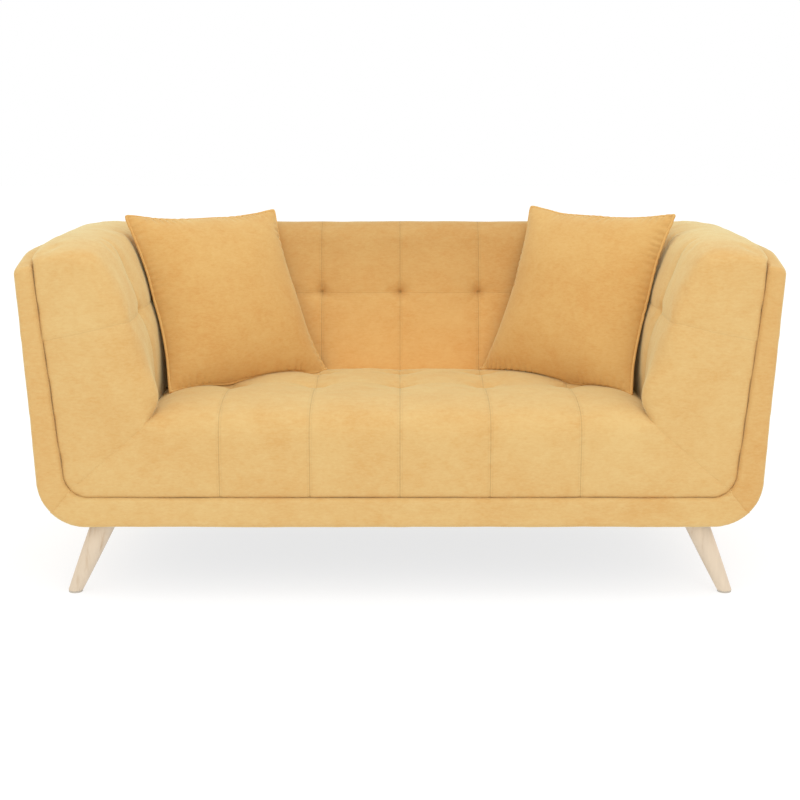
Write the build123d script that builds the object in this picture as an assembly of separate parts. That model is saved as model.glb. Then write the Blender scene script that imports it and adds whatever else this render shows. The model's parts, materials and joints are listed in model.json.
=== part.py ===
from build123d import *
import math
import os

# Two-seat tub sofa on splayed wooden legs, with two loose scatter cushions.
# Millimetres. +X is the sitter's left-to-right seen from the front, +Y the back, +Z up.
# The origin is on the floor, under the middle of the sofa.

# ---- overall sizes
WIDTH = 1700.0
DEPTH = 800.0
ARM_HEIGHT = 764.0          # top edge of the outer shell
LEG_HEIGHT = 166.0          # floor to the underside of the body

# ---- outer shell: a padded wall round the sides and the back, and a border under the seat
SHELL_LEAN = 3.2            # degrees that the sides lean outwards
SHELL_TOP_WALL = 42.0
SHELL_BASE_WALL = 66.0
SHELL_CORNER = 85.0
MITRE_RUN = 32.0            # how far the corner mitre runs in along the underside
BORDER_HEIGHT = 70.0
BORDER_DEPTH = 26.0
REAR_WALL = 55.0
SHELL_SKIN = 5.0            # cover cloth with its wadding
PANEL_BOARD = 12.0

# ---- inside upholstery
COVER = 4.0                 # cover cloth with its stitched lining
ARM_CROWN = 33.0            # how far the arm pads rise above the shell
ARM_WIDE = 262.0            # arm width above the seat
ARM_SLOPE = 72.0            # how much narrower the arm is at its top
SEAT_HEIGHT = 437.0
SEAT_ROLL = 68.0            # radius of the seat's front edge
SEAT_CLEAR = 9.0            # springs and clips lie in this height above the rails
MITRE_HEIGHT = 400.0        # where the arm and seat fronts meet
MITRE_SLANT = 1.4           # upright distance for one unit across the mitre
SEAT_END_STEP = 22.0
BACK_THICK = 235.0          # whole back at seat height
BACK_LEAN = 16.0            # degrees
BACK_CROWN = 26.0           # how far the back pad rises above the shell

# ---- timber frame
RAIL_THICK = 25.0
RAIL_GAP = 4.0              # from the underside of the body to the rails
POST_WIDE = 45.0
POST_GAP = 6.0
POST_THICK = 40.0
ARM_BOARD = 20.0
BACK_POST_THICK = 25.0
FRAME_BELOW_TOP = 60.0      # top of the posts below the shell's top
BLOCK_SIZE = 84.0
BLOCK_HEIGHT = 45.0

# ---- springs, webbing and tufting
SPRING_COUNT = 6
SPRING_WIRE = 3.6
SPRING_PITCH = 180.0
SPRING_LOOP = 46.0
SPRING_STEP = 24.0
CLIP_SIZE = 26.0
WEB_WIDE = 50.0
WEB_THICK = 1.5
WEB_COUNT = 4
WEB_PITCH = 96.0
TUFT_PITCH = 204.0
TIE_RADIUS = 1.2
TIE_WASHER = 14.0
TIE_WASHER_THICK = 1.5
TUFT_BELOW_TOP = 149.0      # tuft rows of the arms and the back, below the shell's top
SEAT_TUFT_FRONT = 323.0
SEAT_TUFT_REAR = 25.0
ARM_TUFT_FRONT = 210.0
ARM_TUFT_REAR = 155.0

# ---- legs and their fixings
LEG_TOP_RADIUS = 30.0
LEG_FOOT_RADIUS = 17.0
LEG_INSIDE_RAIL = 14.0      # leg axis to the inner face of the side rail
LEG_BEHIND_FRONT = 38.0     # leg axis to the front face of the front rail
LEG_SPLAY_X = 70.0
LEG_SPLAY_Y = 16.0
GLIDE_THICK = 4.0
PLATE_SIZE = 76.0
PLATE_THICK = 2.5
BOLT_RADIUS = 4.0
BOLT_IN_LEG = 26.0
BOLT_IN_BLOCK = 24.0
SCREW_RADIUS = 2.0
SCREW_LENGTH = 16.0
FRAME_SCREW_RADIUS = 2.5
FRAME_SCREW_LENGTH = 45.0
CLOTH = 1.5

# ---- scatter cushions
CUSHION_SIDE = 424.0
CUSHION_THICK = 120.0
CUSHION_EDGE = 16.0
CUSHION_CROWN = 250.0       # side of the fullest middle square
CUSHION_COVER = 1.5
PIPING = 8.0
PIPING_DEEP = 5.0
ZIP_LENGTH = 380.0
ZIP_DEEP = 2.5
CUSHION_BESIDE_ARM = 163.0  # cushion's middle to the arm
CUSHION_BEFORE_BACK = 103.0
CUSHION_REST = 0.4          # gap between the cushion's lowest corner and the seat
CUSHION_TURN = 38.0         # degrees that each cushion faces inwards
CUSHION_LEAN = 29.0         # degrees that it leans back

HALF = WIDTH / 2
FRONT = -DEPTH / 2
REAR = DEPTH / 2
BASE = LEG_HEIGHT
LEAN = math.tan(math.radians(SHELL_LEAN))
BORDER_TOP = BASE + BORDER_HEIGHT
ARM_TOP = ARM_HEIGHT + ARM_CROWN
BACK_TOP = ARM_HEIGHT + BACK_CROWN
SHELL_BACK = REAR - REAR_WALL
RAIL_BOTTOM = BASE + RAIL_GAP
RAIL_TOP = BORDER_TOP
SEAT_UNDERSIDE = RAIL_TOP + SEAT_CLEAR
ARM_BOARD_LOW = ARM_HEIGHT - FRAME_BELOW_TOP
BACK_UNDERSIDE = RAIL_TOP + SEAT_CLEAR
RAIL_FRONT = FRONT + BORDER_DEPTH
RAIL_REAR = SHELL_BACK - RAIL_THICK
MIDDLE_HALF = HALF - ARM_WIDE
TOP_HALF = MIDDLE_HALF + ARM_SLOPE
BACK_AT_SEAT = REAR - BACK_THICK
ARM_TUFT_ROWS = (FRONT + ARM_TUFT_FRONT, BACK_AT_SEAT - ARM_TUFT_REAR)
TUFT_HEIGHT = ARM_HEIGHT - TUFT_BELOW_TOP


def side_x(height):
    """Outer face of the side wall at a height."""
    return HALF - (ARM_HEIGHT - height) * LEAN


def wall_x(height):
    """Inner face of the side wall at a height."""
    share = (height - BASE) / (ARM_HEIGHT - BASE)
    wall = SHELL_BASE_WALL + (SHELL_TOP_WALL - SHELL_BASE_WALL) * share
    return side_x(height) - wall


def back_y(height):
    """Front face of the back pad at a height."""
    return BACK_AT_SEAT + (height - SEAT_HEIGHT) * math.tan(math.radians(BACK_LEAN))


def mitre_z(x):
    """Height of the seam between the arm front and the seat front."""
    run = wall_x(BORDER_TOP) - MIDDLE_HALF
    return BORDER_TOP + (wall_x(BORDER_TOP) - x) * (MITRE_HEIGHT - BORDER_TOP) / run


POST_X = wall_x(BORDER_TOP) - POST_GAP - POST_WIDE
MITRE_FOOT_X = POST_X - COVER
SEAT_TUFT_ROWS = (FRONT + SEAT_TUFT_FRONT, back_y(SEAT_UNDERSIDE) - SEAT_TUFT_REAR)
SIDE_RAIL_X = wall_x(BORDER_TOP) - MITRE_RUN - RAIL_GAP - RAIL_THICK


def across(points, radii, low, high):
    """A front-view outline, points (x, z), run from y = low to y = high."""
    face = outline(points, radii)
    plane = Plane(origin=(0, low, 0), x_dir=(1, 0, 0), z_dir=(0, -1, 0))
    return extrude(plane * face, amount=-(high - low))


def along(points, radii, low, high):
    """A side-view outline, points (y, z), run from x = low to x = high."""
    face = outline(points, radii)
    plane = Plane(origin=(low, 0, 0), x_dir=(0, 1, 0), z_dir=(1, 0, 0))
    return extrude(plane * face, amount=high - low)


def outline(points, radii):
    return make_face(FilletPolyline(*points, radius=radii, close=True))


def block(low, high):
    """A box between two corners."""
    size = [b - a for a, b in zip(low, high)]
    middle = [(a + b) / 2 for a, b in zip(low, high)]
    return Pos(*middle) * Box(*size)


def mirrored(shape):
    return shape.mirror(Plane.YZ)


def group(shapes):
    return Compound(children=list(shapes))


def save(name, shape):
    export_step(shape, f"parts/{name}.step")


def save_pair(name, right):
    """A right-hand piece and its left-hand mirror image."""
    save(f"{name}_right", right)
    save(f"{name}_left", mirrored(right))


# ---------------------------------------------------------------- outer shell
def wall_outline(inset):
    """Front view of the right wall, moved in from its faces by an inset."""
    low = BASE + inset
    high = ARM_HEIGHT - inset
    mitre_x = wall_x(BORDER_TOP) - MITRE_RUN
    points = [
        (mitre_x + inset, low),
        (side_x(low) - inset, low),
        (side_x(high) - inset, high),
        (wall_x(high) + inset, high),
        (wall_x(BORDER_TOP) + inset, BORDER_TOP),
    ]
    room = side_x(low) - mitre_x - 2 * inset
    return points, [0, min(SHELL_CORNER - inset, 0.9 * room), 12, 8, 0]


def side_wall():
    points, radii = wall_outline(0)
    wall = across(points, radii, FRONT, SHELL_BACK)
    points, radii = wall_outline(SHELL_SKIN)
    core = across(points, radii, FRONT + SHELL_SKIN, SHELL_BACK - SHELL_SKIN)
    return wall, core


def side_panel():
    """Board that stiffens the side, just behind the outer wadding."""
    low = BASE + SHELL_CORNER + 10
    high = ARM_HEIGHT - 30
    outer = SHELL_SKIN + 8
    points = [
        (side_x(low) - outer - PANEL_BOARD, low),
        (side_x(low) - outer, low),
        (side_x(high) - outer, high),
        (side_x(high) - outer - PANEL_BOARD, high),
    ]
    return across(points, [0, 0, 0, 0], FRONT + 25, SHELL_BACK - 20)


def rear_wall_solid(inset):
    low = BASE + inset
    high = ARM_HEIGHT - inset
    points = [
        (-side_x(low) + inset, low),
        (side_x(low) - inset, low),
        (side_x(high) - inset, high),
        (-side_x(high) + inset, high),
    ]
    corner = SHELL_CORNER - inset
    solid = across(points, [corner, corner, 12, 12], SHELL_BACK + inset, REAR - inset)
    edges = solid.edges().filter_by(lambda e: abs(e.center().Y - (REAR - inset)) < 0.01)
    return fillet(edges, min(SHELL_CORNER, REAR_WALL - 2 * SHELL_SKIN) * 0.75 - inset)


def rear_panel():
    half = side_x(BASE) - SHELL_CORNER
    middle = (SHELL_BACK + REAR) / 2
    low = (-half, middle - 3, BASE + 60)
    high = (half, middle + 3, ARM_HEIGHT - 40)
    return block(low, high)


def front_border(inset):
    half_top = wall_x(BORDER_TOP) - inset
    half_low = half_top - MITRE_RUN
    points = [
        (-half_low, BASE + inset),
        (half_low, BASE + inset),
        (half_top, BORDER_TOP - inset),
        (-half_top, BORDER_TOP - inset),
    ]
    return across(points, [0, 0, 0, 0], FRONT + inset, RAIL_FRONT - inset)


def build_shell():
    wall, core = side_wall()
    panel = side_panel()
    save_pair("side_outer_cover", wall - core)
    save_pair("side_wadding", core - panel)
    save_pair("side_panel_board", panel)
    rear = rear_wall_solid(0)
    rear_core = rear_wall_solid(SHELL_SKIN)
    board = rear_panel()
    save("rear_outer_cover", rear - rear_core)
    save("rear_wadding", rear_core - board)
    save("rear_panel_board", board)
    border = front_border(0)
    border_core = front_border(SHELL_SKIN)
    save("front_border_cover", border - border_core)
    save("front_border_wadding", border_core)
    half = wall_x(BORDER_TOP) - MITRE_RUN
    cloth = block((-half, RAIL_FRONT, BASE), (half, SHELL_BACK, BASE + CLOTH))
    bolts = [leg_bolt(sx, sy) for _, _, sx, sy in corners()]
    save("dust_cover", minus(cloth, bolts + all_plate_screws()))


# ---------------------------------------------------------------- timber frame
def arm_post(low_y):
    low = (POST_X, low_y, RAIL_TOP)
    return block(low, (POST_X + POST_WIDE, low_y + POST_THICK, ARM_BOARD_LOW))


ARM_POST_FRONT = FRONT + 44.0
ARM_POST_REAR = back_y(RAIL_TOP) - 8.0 - POST_THICK


def arm_top_board():
    outer = POST_X + POST_WIDE + 10.0
    low = (outer - 2 * POST_WIDE, ARM_POST_FRONT, ARM_BOARD_LOW)
    return block(low, (outer, ARM_POST_REAR + POST_THICK, ARM_BOARD_LOW + ARM_BOARD))


BACK_FRAME_Y = SHELL_BACK - COVER - BACK_POST_THICK
BACK_POST_X = wall_x(BORDER_TOP) - POST_WIDE - 40.0


def back_post(x):
    low = (x - POST_WIDE / 2, BACK_FRAME_Y, RAIL_TOP)
    high = (x + POST_WIDE / 2, BACK_FRAME_Y + BACK_POST_THICK, ARM_BOARD_LOW)
    return block(low, high)


def back_posts():
    return [back_post(-BACK_POST_X), back_post(0), back_post(BACK_POST_X)]


def back_rail(low_z):
    half = BACK_POST_X + POST_WIDE / 2
    low = (-half, BACK_FRAME_Y, low_z)
    high = (half, BACK_FRAME_Y + BACK_POST_THICK, low_z + POST_THICK)
    return block(low, high)


def minus(shape, tools):
    for tool in tools:
        shape = shape - tool
    return shape


def leg_blocks():
    """Solid blocks inside the base corners that take the leg bolts."""
    blocks = []
    for sx in (-1, 1):
        for sy in (-1, 1):
            inner_y = RAIL_FRONT + RAIL_THICK if sy < 0 else RAIL_REAR
            x = sx * (SIDE_RAIL_X - BLOCK_SIZE / 2)
            y = inner_y - sy * BLOCK_SIZE / 2
            low = (x - BLOCK_SIZE / 2, y - BLOCK_SIZE / 2, RAIL_BOTTOM)
            high = (x + BLOCK_SIZE / 2, y + BLOCK_SIZE / 2, RAIL_BOTTOM + BLOCK_HEIGHT)
            blocks.append(minus(block(low, high), [leg_bolt(sx, sy)] + plate_screws(sx, sy)))
    return group(blocks)


def leg_bolt(sx, sy):
    x, y = leg_top(sx, sy)
    low = BASE - PLATE_THICK - BOLT_IN_LEG
    high = RAIL_BOTTOM + BOLT_IN_BLOCK
    return Pos(x, y, (low + high) / 2) * Cylinder(BOLT_RADIUS, high - low)


def frame_screws():
    """Long screws through the front and rear rails into the side rails."""
    screws = []
    for sx in (-1, 1):
        for y, side in ((RAIL_FRONT, 1), (SHELL_BACK, -1)):
            for share in (0.3, 0.7):
                z = RAIL_BOTTOM + (RAIL_TOP - RAIL_BOTTOM) * share
                x = sx * (SIDE_RAIL_X + RAIL_THICK / 2)
                middle = y + side * FRAME_SCREW_LENGTH / 2
                shank = Cylinder(FRAME_SCREW_RADIUS, FRAME_SCREW_LENGTH, rotation=(90, 0, 0))
                screws.append(Pos(x, middle, z) * shank)
    return screws


def build_frame():
    screws = frame_screws()
    fixings = screws + all_plate_screws()
    half = SIDE_RAIL_X + RAIL_THICK
    front = block((-half, RAIL_FRONT, RAIL_BOTTOM), (half, RAIL_FRONT + RAIL_THICK, RAIL_TOP))
    rear = block((-half, RAIL_REAR, RAIL_BOTTOM), (half, SHELL_BACK, RAIL_TOP))
    low = (SIDE_RAIL_X, RAIL_FRONT + RAIL_THICK, RAIL_BOTTOM)
    side = block(low, (half, RAIL_REAR, RAIL_TOP))
    save("front_base_rail", minus(front, fixings))
    save("rear_base_rail", minus(rear, fixings))
    save_pair("side_base_rail", minus(side, fixings))
    low = (-RAIL_THICK / 2, RAIL_FRONT + RAIL_THICK, RAIL_BOTTOM)
    save("centre_base_rail", block(low, (RAIL_THICK / 2, RAIL_REAR, RAIL_TOP - 20)))
    save("leg_corner_blocks", leg_blocks())
    save("frame_screws", group(screws))
    save_pair("arm_front_post", arm_post(ARM_POST_FRONT))
    save_pair("arm_rear_post", arm_post(ARM_POST_REAR))
    save_pair("arm_top_board", arm_top_board())
    save("back_bottom_rail", minus(back_rail(BACK_UNDERSIDE + COVER), back_posts()))
    save("back_top_rail", back_rail(ARM_BOARD_LOW))
    save("back_post_right", back_post(BACK_POST_X))
    save("back_post_left", back_post(-BACK_POST_X))
    save("back_post_centre", back_post(0))


# ---------------------------------------------------------------- springs and webbing
def spring(x):
    """One zigzag spring, from the front rail to the rear rail."""
    radius = SPRING_WIRE / 2
    start = RAIL_FRONT + RAIL_THICK / 2
    end = RAIL_REAR + RAIL_THICK / 2
    turns = int((end - start) // SPRING_STEP)
    turns -= turns % 2
    step = (end - start) / turns
    z = RAIL_TOP + radius + 1.5
    wire = None
    for turn in range(turns):
        y = start + turn * step
        side = 1 if turn % 2 == 0 else -1
        run = block(
            (x - SPRING_LOOP / 2, y - radius, z - radius),
            (x + SPRING_LOOP / 2, y + radius, z + radius),
        )
        edge = x + side * (SPRING_LOOP / 2 - radius)
        link = block((edge - radius, y - radius, z - radius), (edge + radius, y + step + radius, z + radius))
        wire = run + link if wire is None else wire + run + link
    y = end
    last = block(
        (x - SPRING_LOOP / 2, y - radius, z - radius),
        (x + SPRING_LOOP / 2, y + radius, z + radius),
    )
    return wire + last


def spring_columns():
    middle = (SPRING_COUNT - 1) / 2
    return [(i - middle) * SPRING_PITCH for i in range(SPRING_COUNT)]


def spring_clips():
    """Folded steel clips that hold the spring ends on the rails."""
    clips = []
    for x in spring_columns():
        for y in (RAIL_FRONT + RAIL_THICK / 2, RAIL_REAR + RAIL_THICK / 2):
            low = (x - CLIP_SIZE / 2, y - CLIP_SIZE / 4, RAIL_TOP)
            high = (x + CLIP_SIZE / 2, y + CLIP_SIZE / 4, RAIL_TOP + SPRING_WIRE + 4)
            wire = block(
                (x - CLIP_SIZE, y - SPRING_WIRE / 2, RAIL_TOP + 1.5),
                (x + CLIP_SIZE, y + SPRING_WIRE / 2, RAIL_TOP + 1.5 + SPRING_WIRE),
            )
            clips.append(block(low, high) - wire)
    return group(clips)


def webbing():
    """Elastic bands across the front of the back frame; the top one carries the tufts."""
    half = BACK_POST_X + POST_WIDE / 2
    bands = []
    for i in range(WEB_COUNT):
        z = TUFT_HEIGHT - i * WEB_PITCH
        lower = (-half, BACK_FRAME_Y - WEB_THICK, z - WEB_WIDE / 2)
        upper = (half, BACK_FRAME_Y, z + WEB_WIDE / 2)
        bands.append(block(lower, upper))
    return group(bands)


# ---------------------------------------------------------------- seat
def seat_outline(inset):
    low = BORDER_TOP + inset
    lip = RAIL_FRONT + RAIL_GAP
    top = SEAT_HEIGHT - inset
    back = BACK_AT_SEAT
    foot = back_y(SEAT_UNDERSIDE)
    points = [
        (FRONT + inset, low),
        (lip - inset, low),
        (lip - inset, SEAT_UNDERSIDE + inset),
        (foot - inset, SEAT_UNDERSIDE + inset),
        (back - inset, top),
        (FRONT + inset, top),
    ]
    return points, [0, 0, 0, 0, 0, SEAT_ROLL - inset]


def seat_front_view(inset):
    """Front view of the seat: mitred to the arms, rolled down at both ends."""
    low = BORDER_TOP + inset
    top = SEAT_HEIGHT - inset
    right = [
        (MITRE_FOOT_X - inset, low),
        (MITRE_FOOT_X - inset, mitre_z(MITRE_FOOT_X - inset) - MITRE_SLANT * inset),
        (MIDDLE_HALF - inset, mitre_z(MIDDLE_HALF - inset) - MITRE_SLANT * inset),
        (MIDDLE_HALF - inset - SEAT_END_STEP, top),
    ]
    left = [(-x, z) for x, z in reversed(right)]
    return right + left, [0] * len(right + left)


def seat_solid(inset):
    points, radii = seat_outline(inset)
    section = along(points, radii, -HALF, HALF)
    points, radii = seat_front_view(inset)
    return section & across(points, radii, FRONT, REAR)


def tuft_columns(count):
    middle = (count - 1) / 2
    return [(i - middle) * TUFT_PITCH for i in range(count)]


def seat_ties():
    ties = []
    for y in SEAT_TUFT_ROWS:
        for x in tuft_columns(5):
            low = SEAT_UNDERSIDE + COVER
            high = SEAT_HEIGHT - COVER
            cord = Pos(x, y, (low + high) / 2) * Cylinder(TIE_RADIUS, high - low)
            disc = Pos(x, y, low + TIE_WASHER_THICK / 2) * Cylinder(TIE_WASHER, TIE_WASHER_THICK)
            ties.append(cord + disc)
    return ties


def build_seat():
    outer = seat_solid(0)
    core = seat_solid(COVER)
    ties = seat_ties()
    save("seat_cover", outer - core)
    save("seat_foam", minus(core, ties))
    save("seat_tuft_ties", group(ties))
    save("seat_springs", group(spring(x) for x in spring_columns()))
    save("spring_clips", spring_clips())


# ---------------------------------------------------------------- arms
def arm_front_view(inset):
    low_x = wall_x(BORDER_TOP) - inset
    top = ARM_TOP - inset
    points = [
        (low_x, BORDER_TOP + inset),
        (wall_x(ARM_HEIGHT) - inset, ARM_HEIGHT),
        (wall_x(ARM_HEIGHT) - inset - 12, top),
        (TOP_HALF + inset, top),
        (MIDDLE_HALF + inset, ARM_HEIGHT - 190.0),
        (MIDDLE_HALF + inset, mitre_z(MIDDLE_HALF + inset) + MITRE_SLANT * inset),
        (MITRE_FOOT_X + inset, mitre_z(MITRE_FOOT_X + inset) + MITRE_SLANT * inset),
        (MITRE_FOOT_X + inset, BORDER_TOP + inset),
    ]
    return points, [0, 20, 14, 40, 150, 0, 0, 0]


def arm_solid(inset):
    points, radii = arm_front_view(inset)
    length = across(points, radii, FRONT + inset, SHELL_BACK)
    return length - back_room(inset)


def back_room(inset):
    """Everything behind the front face of the back pad."""
    low = back_y(BASE) - inset
    high = back_y(ARM_TOP + 50) - inset
    points = [(low, BASE), (REAR + 10, BASE), (REAR + 10, ARM_TOP + 50), (high, ARM_TOP + 50)]
    return along(points, [0, 0, 0, 0], -HALF - 10, HALF + 10)


def arm_ties():
    ties = []
    for y in ARM_TUFT_ROWS:
        span = POST_X - MIDDLE_HALF - COVER - 30
        x = POST_X - span / 2
        cord = Pos(x, y, TUFT_HEIGHT) * Cylinder(TIE_RADIUS, span, rotation=(0, 90, 0))
        disc = Cylinder(TIE_WASHER, TIE_WASHER_THICK, rotation=(0, 90, 0))
        ties.append(cord + Pos(POST_X - TIE_WASHER_THICK / 2, y, TUFT_HEIGHT) * disc)
    return ties


def build_arms():
    outer = arm_solid(0)
    core = arm_solid(COVER)
    pieces = [arm_post(ARM_POST_FRONT), arm_post(ARM_POST_REAR), arm_top_board()]
    ties = arm_ties()
    foam = minus(core, pieces)
    cover = minus(outer - core, pieces)
    save_pair("arm_inside_cover", cover)
    save_pair("arm_foam", minus(foam, ties))
    save("arm_tuft_ties", group(ties + [mirrored(tie) for tie in ties]))


# ---------------------------------------------------------------- back
def back_outline(inset):
    low = BACK_UNDERSIDE + inset
    top = BACK_TOP - inset
    points = [
        (back_y(BACK_UNDERSIDE) + inset, low),
        (SHELL_BACK - inset, low),
        (SHELL_BACK - inset, ARM_HEIGHT - inset),
        (SHELL_BACK - inset + 18, top),
        (back_y(BACK_TOP) + inset, top),
    ]
    return points, [0, 0, 0, 16, 34]


def back_solid(inset):
    points, radii = back_outline(inset)
    length = along(points, radii, -HALF, HALF)
    low = BACK_UNDERSIDE
    points = [
        (-wall_x(low) + inset, low),
        (wall_x(low) - inset, low),
        (wall_x(ARM_HEIGHT) - inset, ARM_HEIGHT),
        (wall_x(ARM_HEIGHT) - inset, ARM_TOP),
        (-wall_x(ARM_HEIGHT) + inset, ARM_TOP),
        (-wall_x(ARM_HEIGHT) + inset, ARM_HEIGHT),
    ]
    return length & across(points, [0, 0, 0, 0, 0, 0], FRONT, REAR)


def back_frame_room():
    half = wall_x(RAIL_TOP) - COVER
    low = (-half, BACK_FRAME_Y - WEB_THICK, BACK_UNDERSIDE + COVER)
    return block(low, (half, SHELL_BACK - COVER, ARM_BOARD_LOW + POST_THICK))


def back_ties():
    ties = []
    low = back_y(TUFT_HEIGHT) + COVER + 10
    high = BACK_FRAME_Y - WEB_THICK
    for x in tuft_columns(7):
        cord = Cylinder(TIE_RADIUS, high - low, rotation=(90, 0, 0))
        disc = Cylinder(TIE_WASHER, TIE_WASHER_THICK, rotation=(90, 0, 0))
        middle = Pos(x, (low + high) / 2, TUFT_HEIGHT) * cord
        ties.append(middle + Pos(x, high - TIE_WASHER_THICK / 2, TUFT_HEIGHT) * disc)
    return ties


def build_back():
    outer = back_solid(0)
    core = back_solid(COVER)
    ties = back_ties()
    save("back_inside_cover", minus(outer - core, back_posts()))
    save("back_foam", minus(core - back_frame_room(), ties))
    save("back_tuft_ties", group(ties))
    save("back_webbing", webbing())


# ---------------------------------------------------------------- legs
def leg_top(sx, sy):
    """Centre of a leg's top, near the outer corner of the base frame."""
    x = SIDE_RAIL_X - LEG_INSIDE_RAIL
    y = RAIL_FRONT + LEG_BEHIND_FRONT if sy < 0 else RAIL_REAR - BLOCK_SIZE / 2
    return sx * x, y


def leg_foot(sx, sy):
    x, y = leg_top(sx, sy)
    return x + sx * LEG_SPLAY_X, y + sy * LEG_SPLAY_Y


def leg(sx, sy):
    """A tapered, splayed leg, cut level at the plate and at the glide."""
    foot_x, foot_y = leg_foot(sx, sy)
    top_x, top_y = leg_top(sx, sy)
    low = Plane((foot_x, foot_y, GLIDE_THICK)) * Circle(LEG_FOOT_RADIUS)
    high = Plane((top_x, top_y, BASE - PLATE_THICK)) * Circle(LEG_TOP_RADIUS)
    return loft([low, high]) - leg_bolt(sx, sy)


def corners():
    return [("left", "front", -1, -1), ("right", "front", 1, -1),
            ("left", "rear", -1, 1), ("right", "rear", 1, 1)]


def leg_plate(sx, sy):
    x, y = leg_top(sx, sy)
    plate = Pos(x, y, BASE - PLATE_THICK / 2) * Box(PLATE_SIZE, PLATE_SIZE, PLATE_THICK)
    return minus(plate, [leg_bolt(sx, sy)] + plate_screws(sx, sy))


def plate_screws(sx, sy):
    x, y = leg_top(sx, sy)
    reach = PLATE_SIZE / 2 - 7.0
    screws = []
    for dx in (-reach, reach):
        for dy in (-reach, reach):
            z = BASE - PLATE_THICK + SCREW_LENGTH / 2
            screws.append(Pos(x + dx, y + dy, z) * Cylinder(SCREW_RADIUS, SCREW_LENGTH))
    return screws


def all_plate_screws():
    return [screw for _, _, sx, sy in corners() for screw in plate_screws(sx, sy)]


def build_legs():
    plates = []
    bolts = []
    glides = []
    for side, end, sx, sy in corners():
        save(f"leg_{end}_{side}", leg(sx, sy))
        plates.append(leg_plate(sx, sy))
        bolts.append(leg_bolt(sx, sy))
        x, y = leg_foot(sx, sy)
        glides.append(Pos(x, y, GLIDE_THICK / 2) * Cylinder(LEG_FOOT_RADIUS - 1, GLIDE_THICK))
    save("leg_plates", group(plates))
    save("leg_plate_screws", group(all_plate_screws()))
    save("leg_bolts", group(bolts))
    save("foot_glides", group(glides))


# ---------------------------------------------------------------- scatter cushions
def pillow(side, crown, thick, edge):
    """A square pillow: a thin rim that swells to a full middle."""
    rim = Box(side, edge, side)
    front = loft([
        Plane((0, -edge / 2, 0), x_dir=(1, 0, 0), z_dir=(0, -1, 0)) * Rectangle(side, side),
        Plane((0, -thick / 2, 0), x_dir=(1, 0, 0), z_dir=(0, -1, 0)) * Rectangle(crown, crown),
    ])
    return rim + front + front.mirror(Plane.XZ)


def cushion_place():
    """Leaning into the corner, with its lowest edge just over the seat."""
    lean = math.radians(CUSHION_LEAN)
    drop = CUSHION_SIDE / 2 * math.cos(lean) + PIPING / 2 * math.sin(lean)
    middle = Pos(
        MIDDLE_HALF - CUSHION_BESIDE_ARM,
        BACK_AT_SEAT - CUSHION_BEFORE_BACK,
        SEAT_HEIGHT + CUSHION_REST + drop,
    )
    return middle * Rot(0, 0, -CUSHION_TURN) * Rot(-CUSHION_LEAN, 0, 0)


def build_cushions():
    rim_side = CUSHION_SIDE - 2 * PIPING_DEEP
    skin = 2 * CUSHION_COVER
    outer = pillow(rim_side, CUSHION_CROWN, CUSHION_THICK, CUSHION_EDGE)
    core = pillow(rim_side - skin, CUSHION_CROWN - skin, CUSHION_THICK - skin, CUSHION_EDGE - skin)
    ring = Box(CUSHION_SIDE, PIPING, CUSHION_SIDE) - Box(rim_side, PIPING, rim_side)
    zip_y = (CUSHION_EDGE + PIPING) / 4
    zip_thick = (CUSHION_EDGE - PIPING) / 2
    strip = Pos(0, zip_y, -(rim_side + ZIP_DEEP) / 2) * Box(ZIP_LENGTH, zip_thick, ZIP_DEEP)
    place = cushion_place()
    save_pair("cushion_cover", place * (outer - core))
    save_pair("cushion_filling", place * core)
    save_pair("cushion_piping", place * ring)
    save_pair("cushion_zip", place * strip)


os.makedirs("parts", exist_ok=True)
build_shell()
build_frame()
build_seat()
build_arms()
build_back()
build_legs()
build_cushions()
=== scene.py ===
import bmesh
import bpy
import json
import math
import numpy as np
from bpy.props import FloatProperty, FloatVectorProperty, PointerProperty
from mathutils import Matrix, Vector, noise
from mathutils.bvhtree import BVHTree
from mathutils.kdtree import KDTree


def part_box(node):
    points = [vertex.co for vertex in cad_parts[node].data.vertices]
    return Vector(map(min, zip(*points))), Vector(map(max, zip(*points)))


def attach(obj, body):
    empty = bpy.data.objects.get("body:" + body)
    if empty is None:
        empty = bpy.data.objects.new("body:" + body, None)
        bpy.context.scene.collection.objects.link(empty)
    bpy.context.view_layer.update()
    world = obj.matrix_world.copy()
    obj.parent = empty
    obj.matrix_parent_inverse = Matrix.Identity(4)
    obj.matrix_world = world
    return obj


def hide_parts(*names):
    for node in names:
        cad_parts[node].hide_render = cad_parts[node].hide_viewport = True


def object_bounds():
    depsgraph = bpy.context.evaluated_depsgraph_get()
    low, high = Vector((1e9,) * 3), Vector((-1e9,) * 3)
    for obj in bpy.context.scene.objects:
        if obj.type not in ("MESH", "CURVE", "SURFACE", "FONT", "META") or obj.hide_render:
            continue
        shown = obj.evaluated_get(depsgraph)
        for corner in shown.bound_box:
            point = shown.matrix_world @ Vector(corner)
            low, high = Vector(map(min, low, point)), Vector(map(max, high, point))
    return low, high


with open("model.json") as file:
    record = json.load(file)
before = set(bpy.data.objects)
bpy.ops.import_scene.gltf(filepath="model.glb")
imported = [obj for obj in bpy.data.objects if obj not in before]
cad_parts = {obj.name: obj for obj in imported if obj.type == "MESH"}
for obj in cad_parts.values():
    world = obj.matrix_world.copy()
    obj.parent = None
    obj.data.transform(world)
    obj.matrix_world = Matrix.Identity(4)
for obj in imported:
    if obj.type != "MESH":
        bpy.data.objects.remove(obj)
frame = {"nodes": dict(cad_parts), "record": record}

bl_info = {
    "name": "Tufted two-seat sofa",
    "version": (1, 0, 0),
    "blender": (4, 5, 0),
    "location": "View3D > Sidebar > Sofa",
    "description": "Builds the upholstery, cushions and legs of a tufted two-seat sofa",
    "category": "Object",
}

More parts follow.
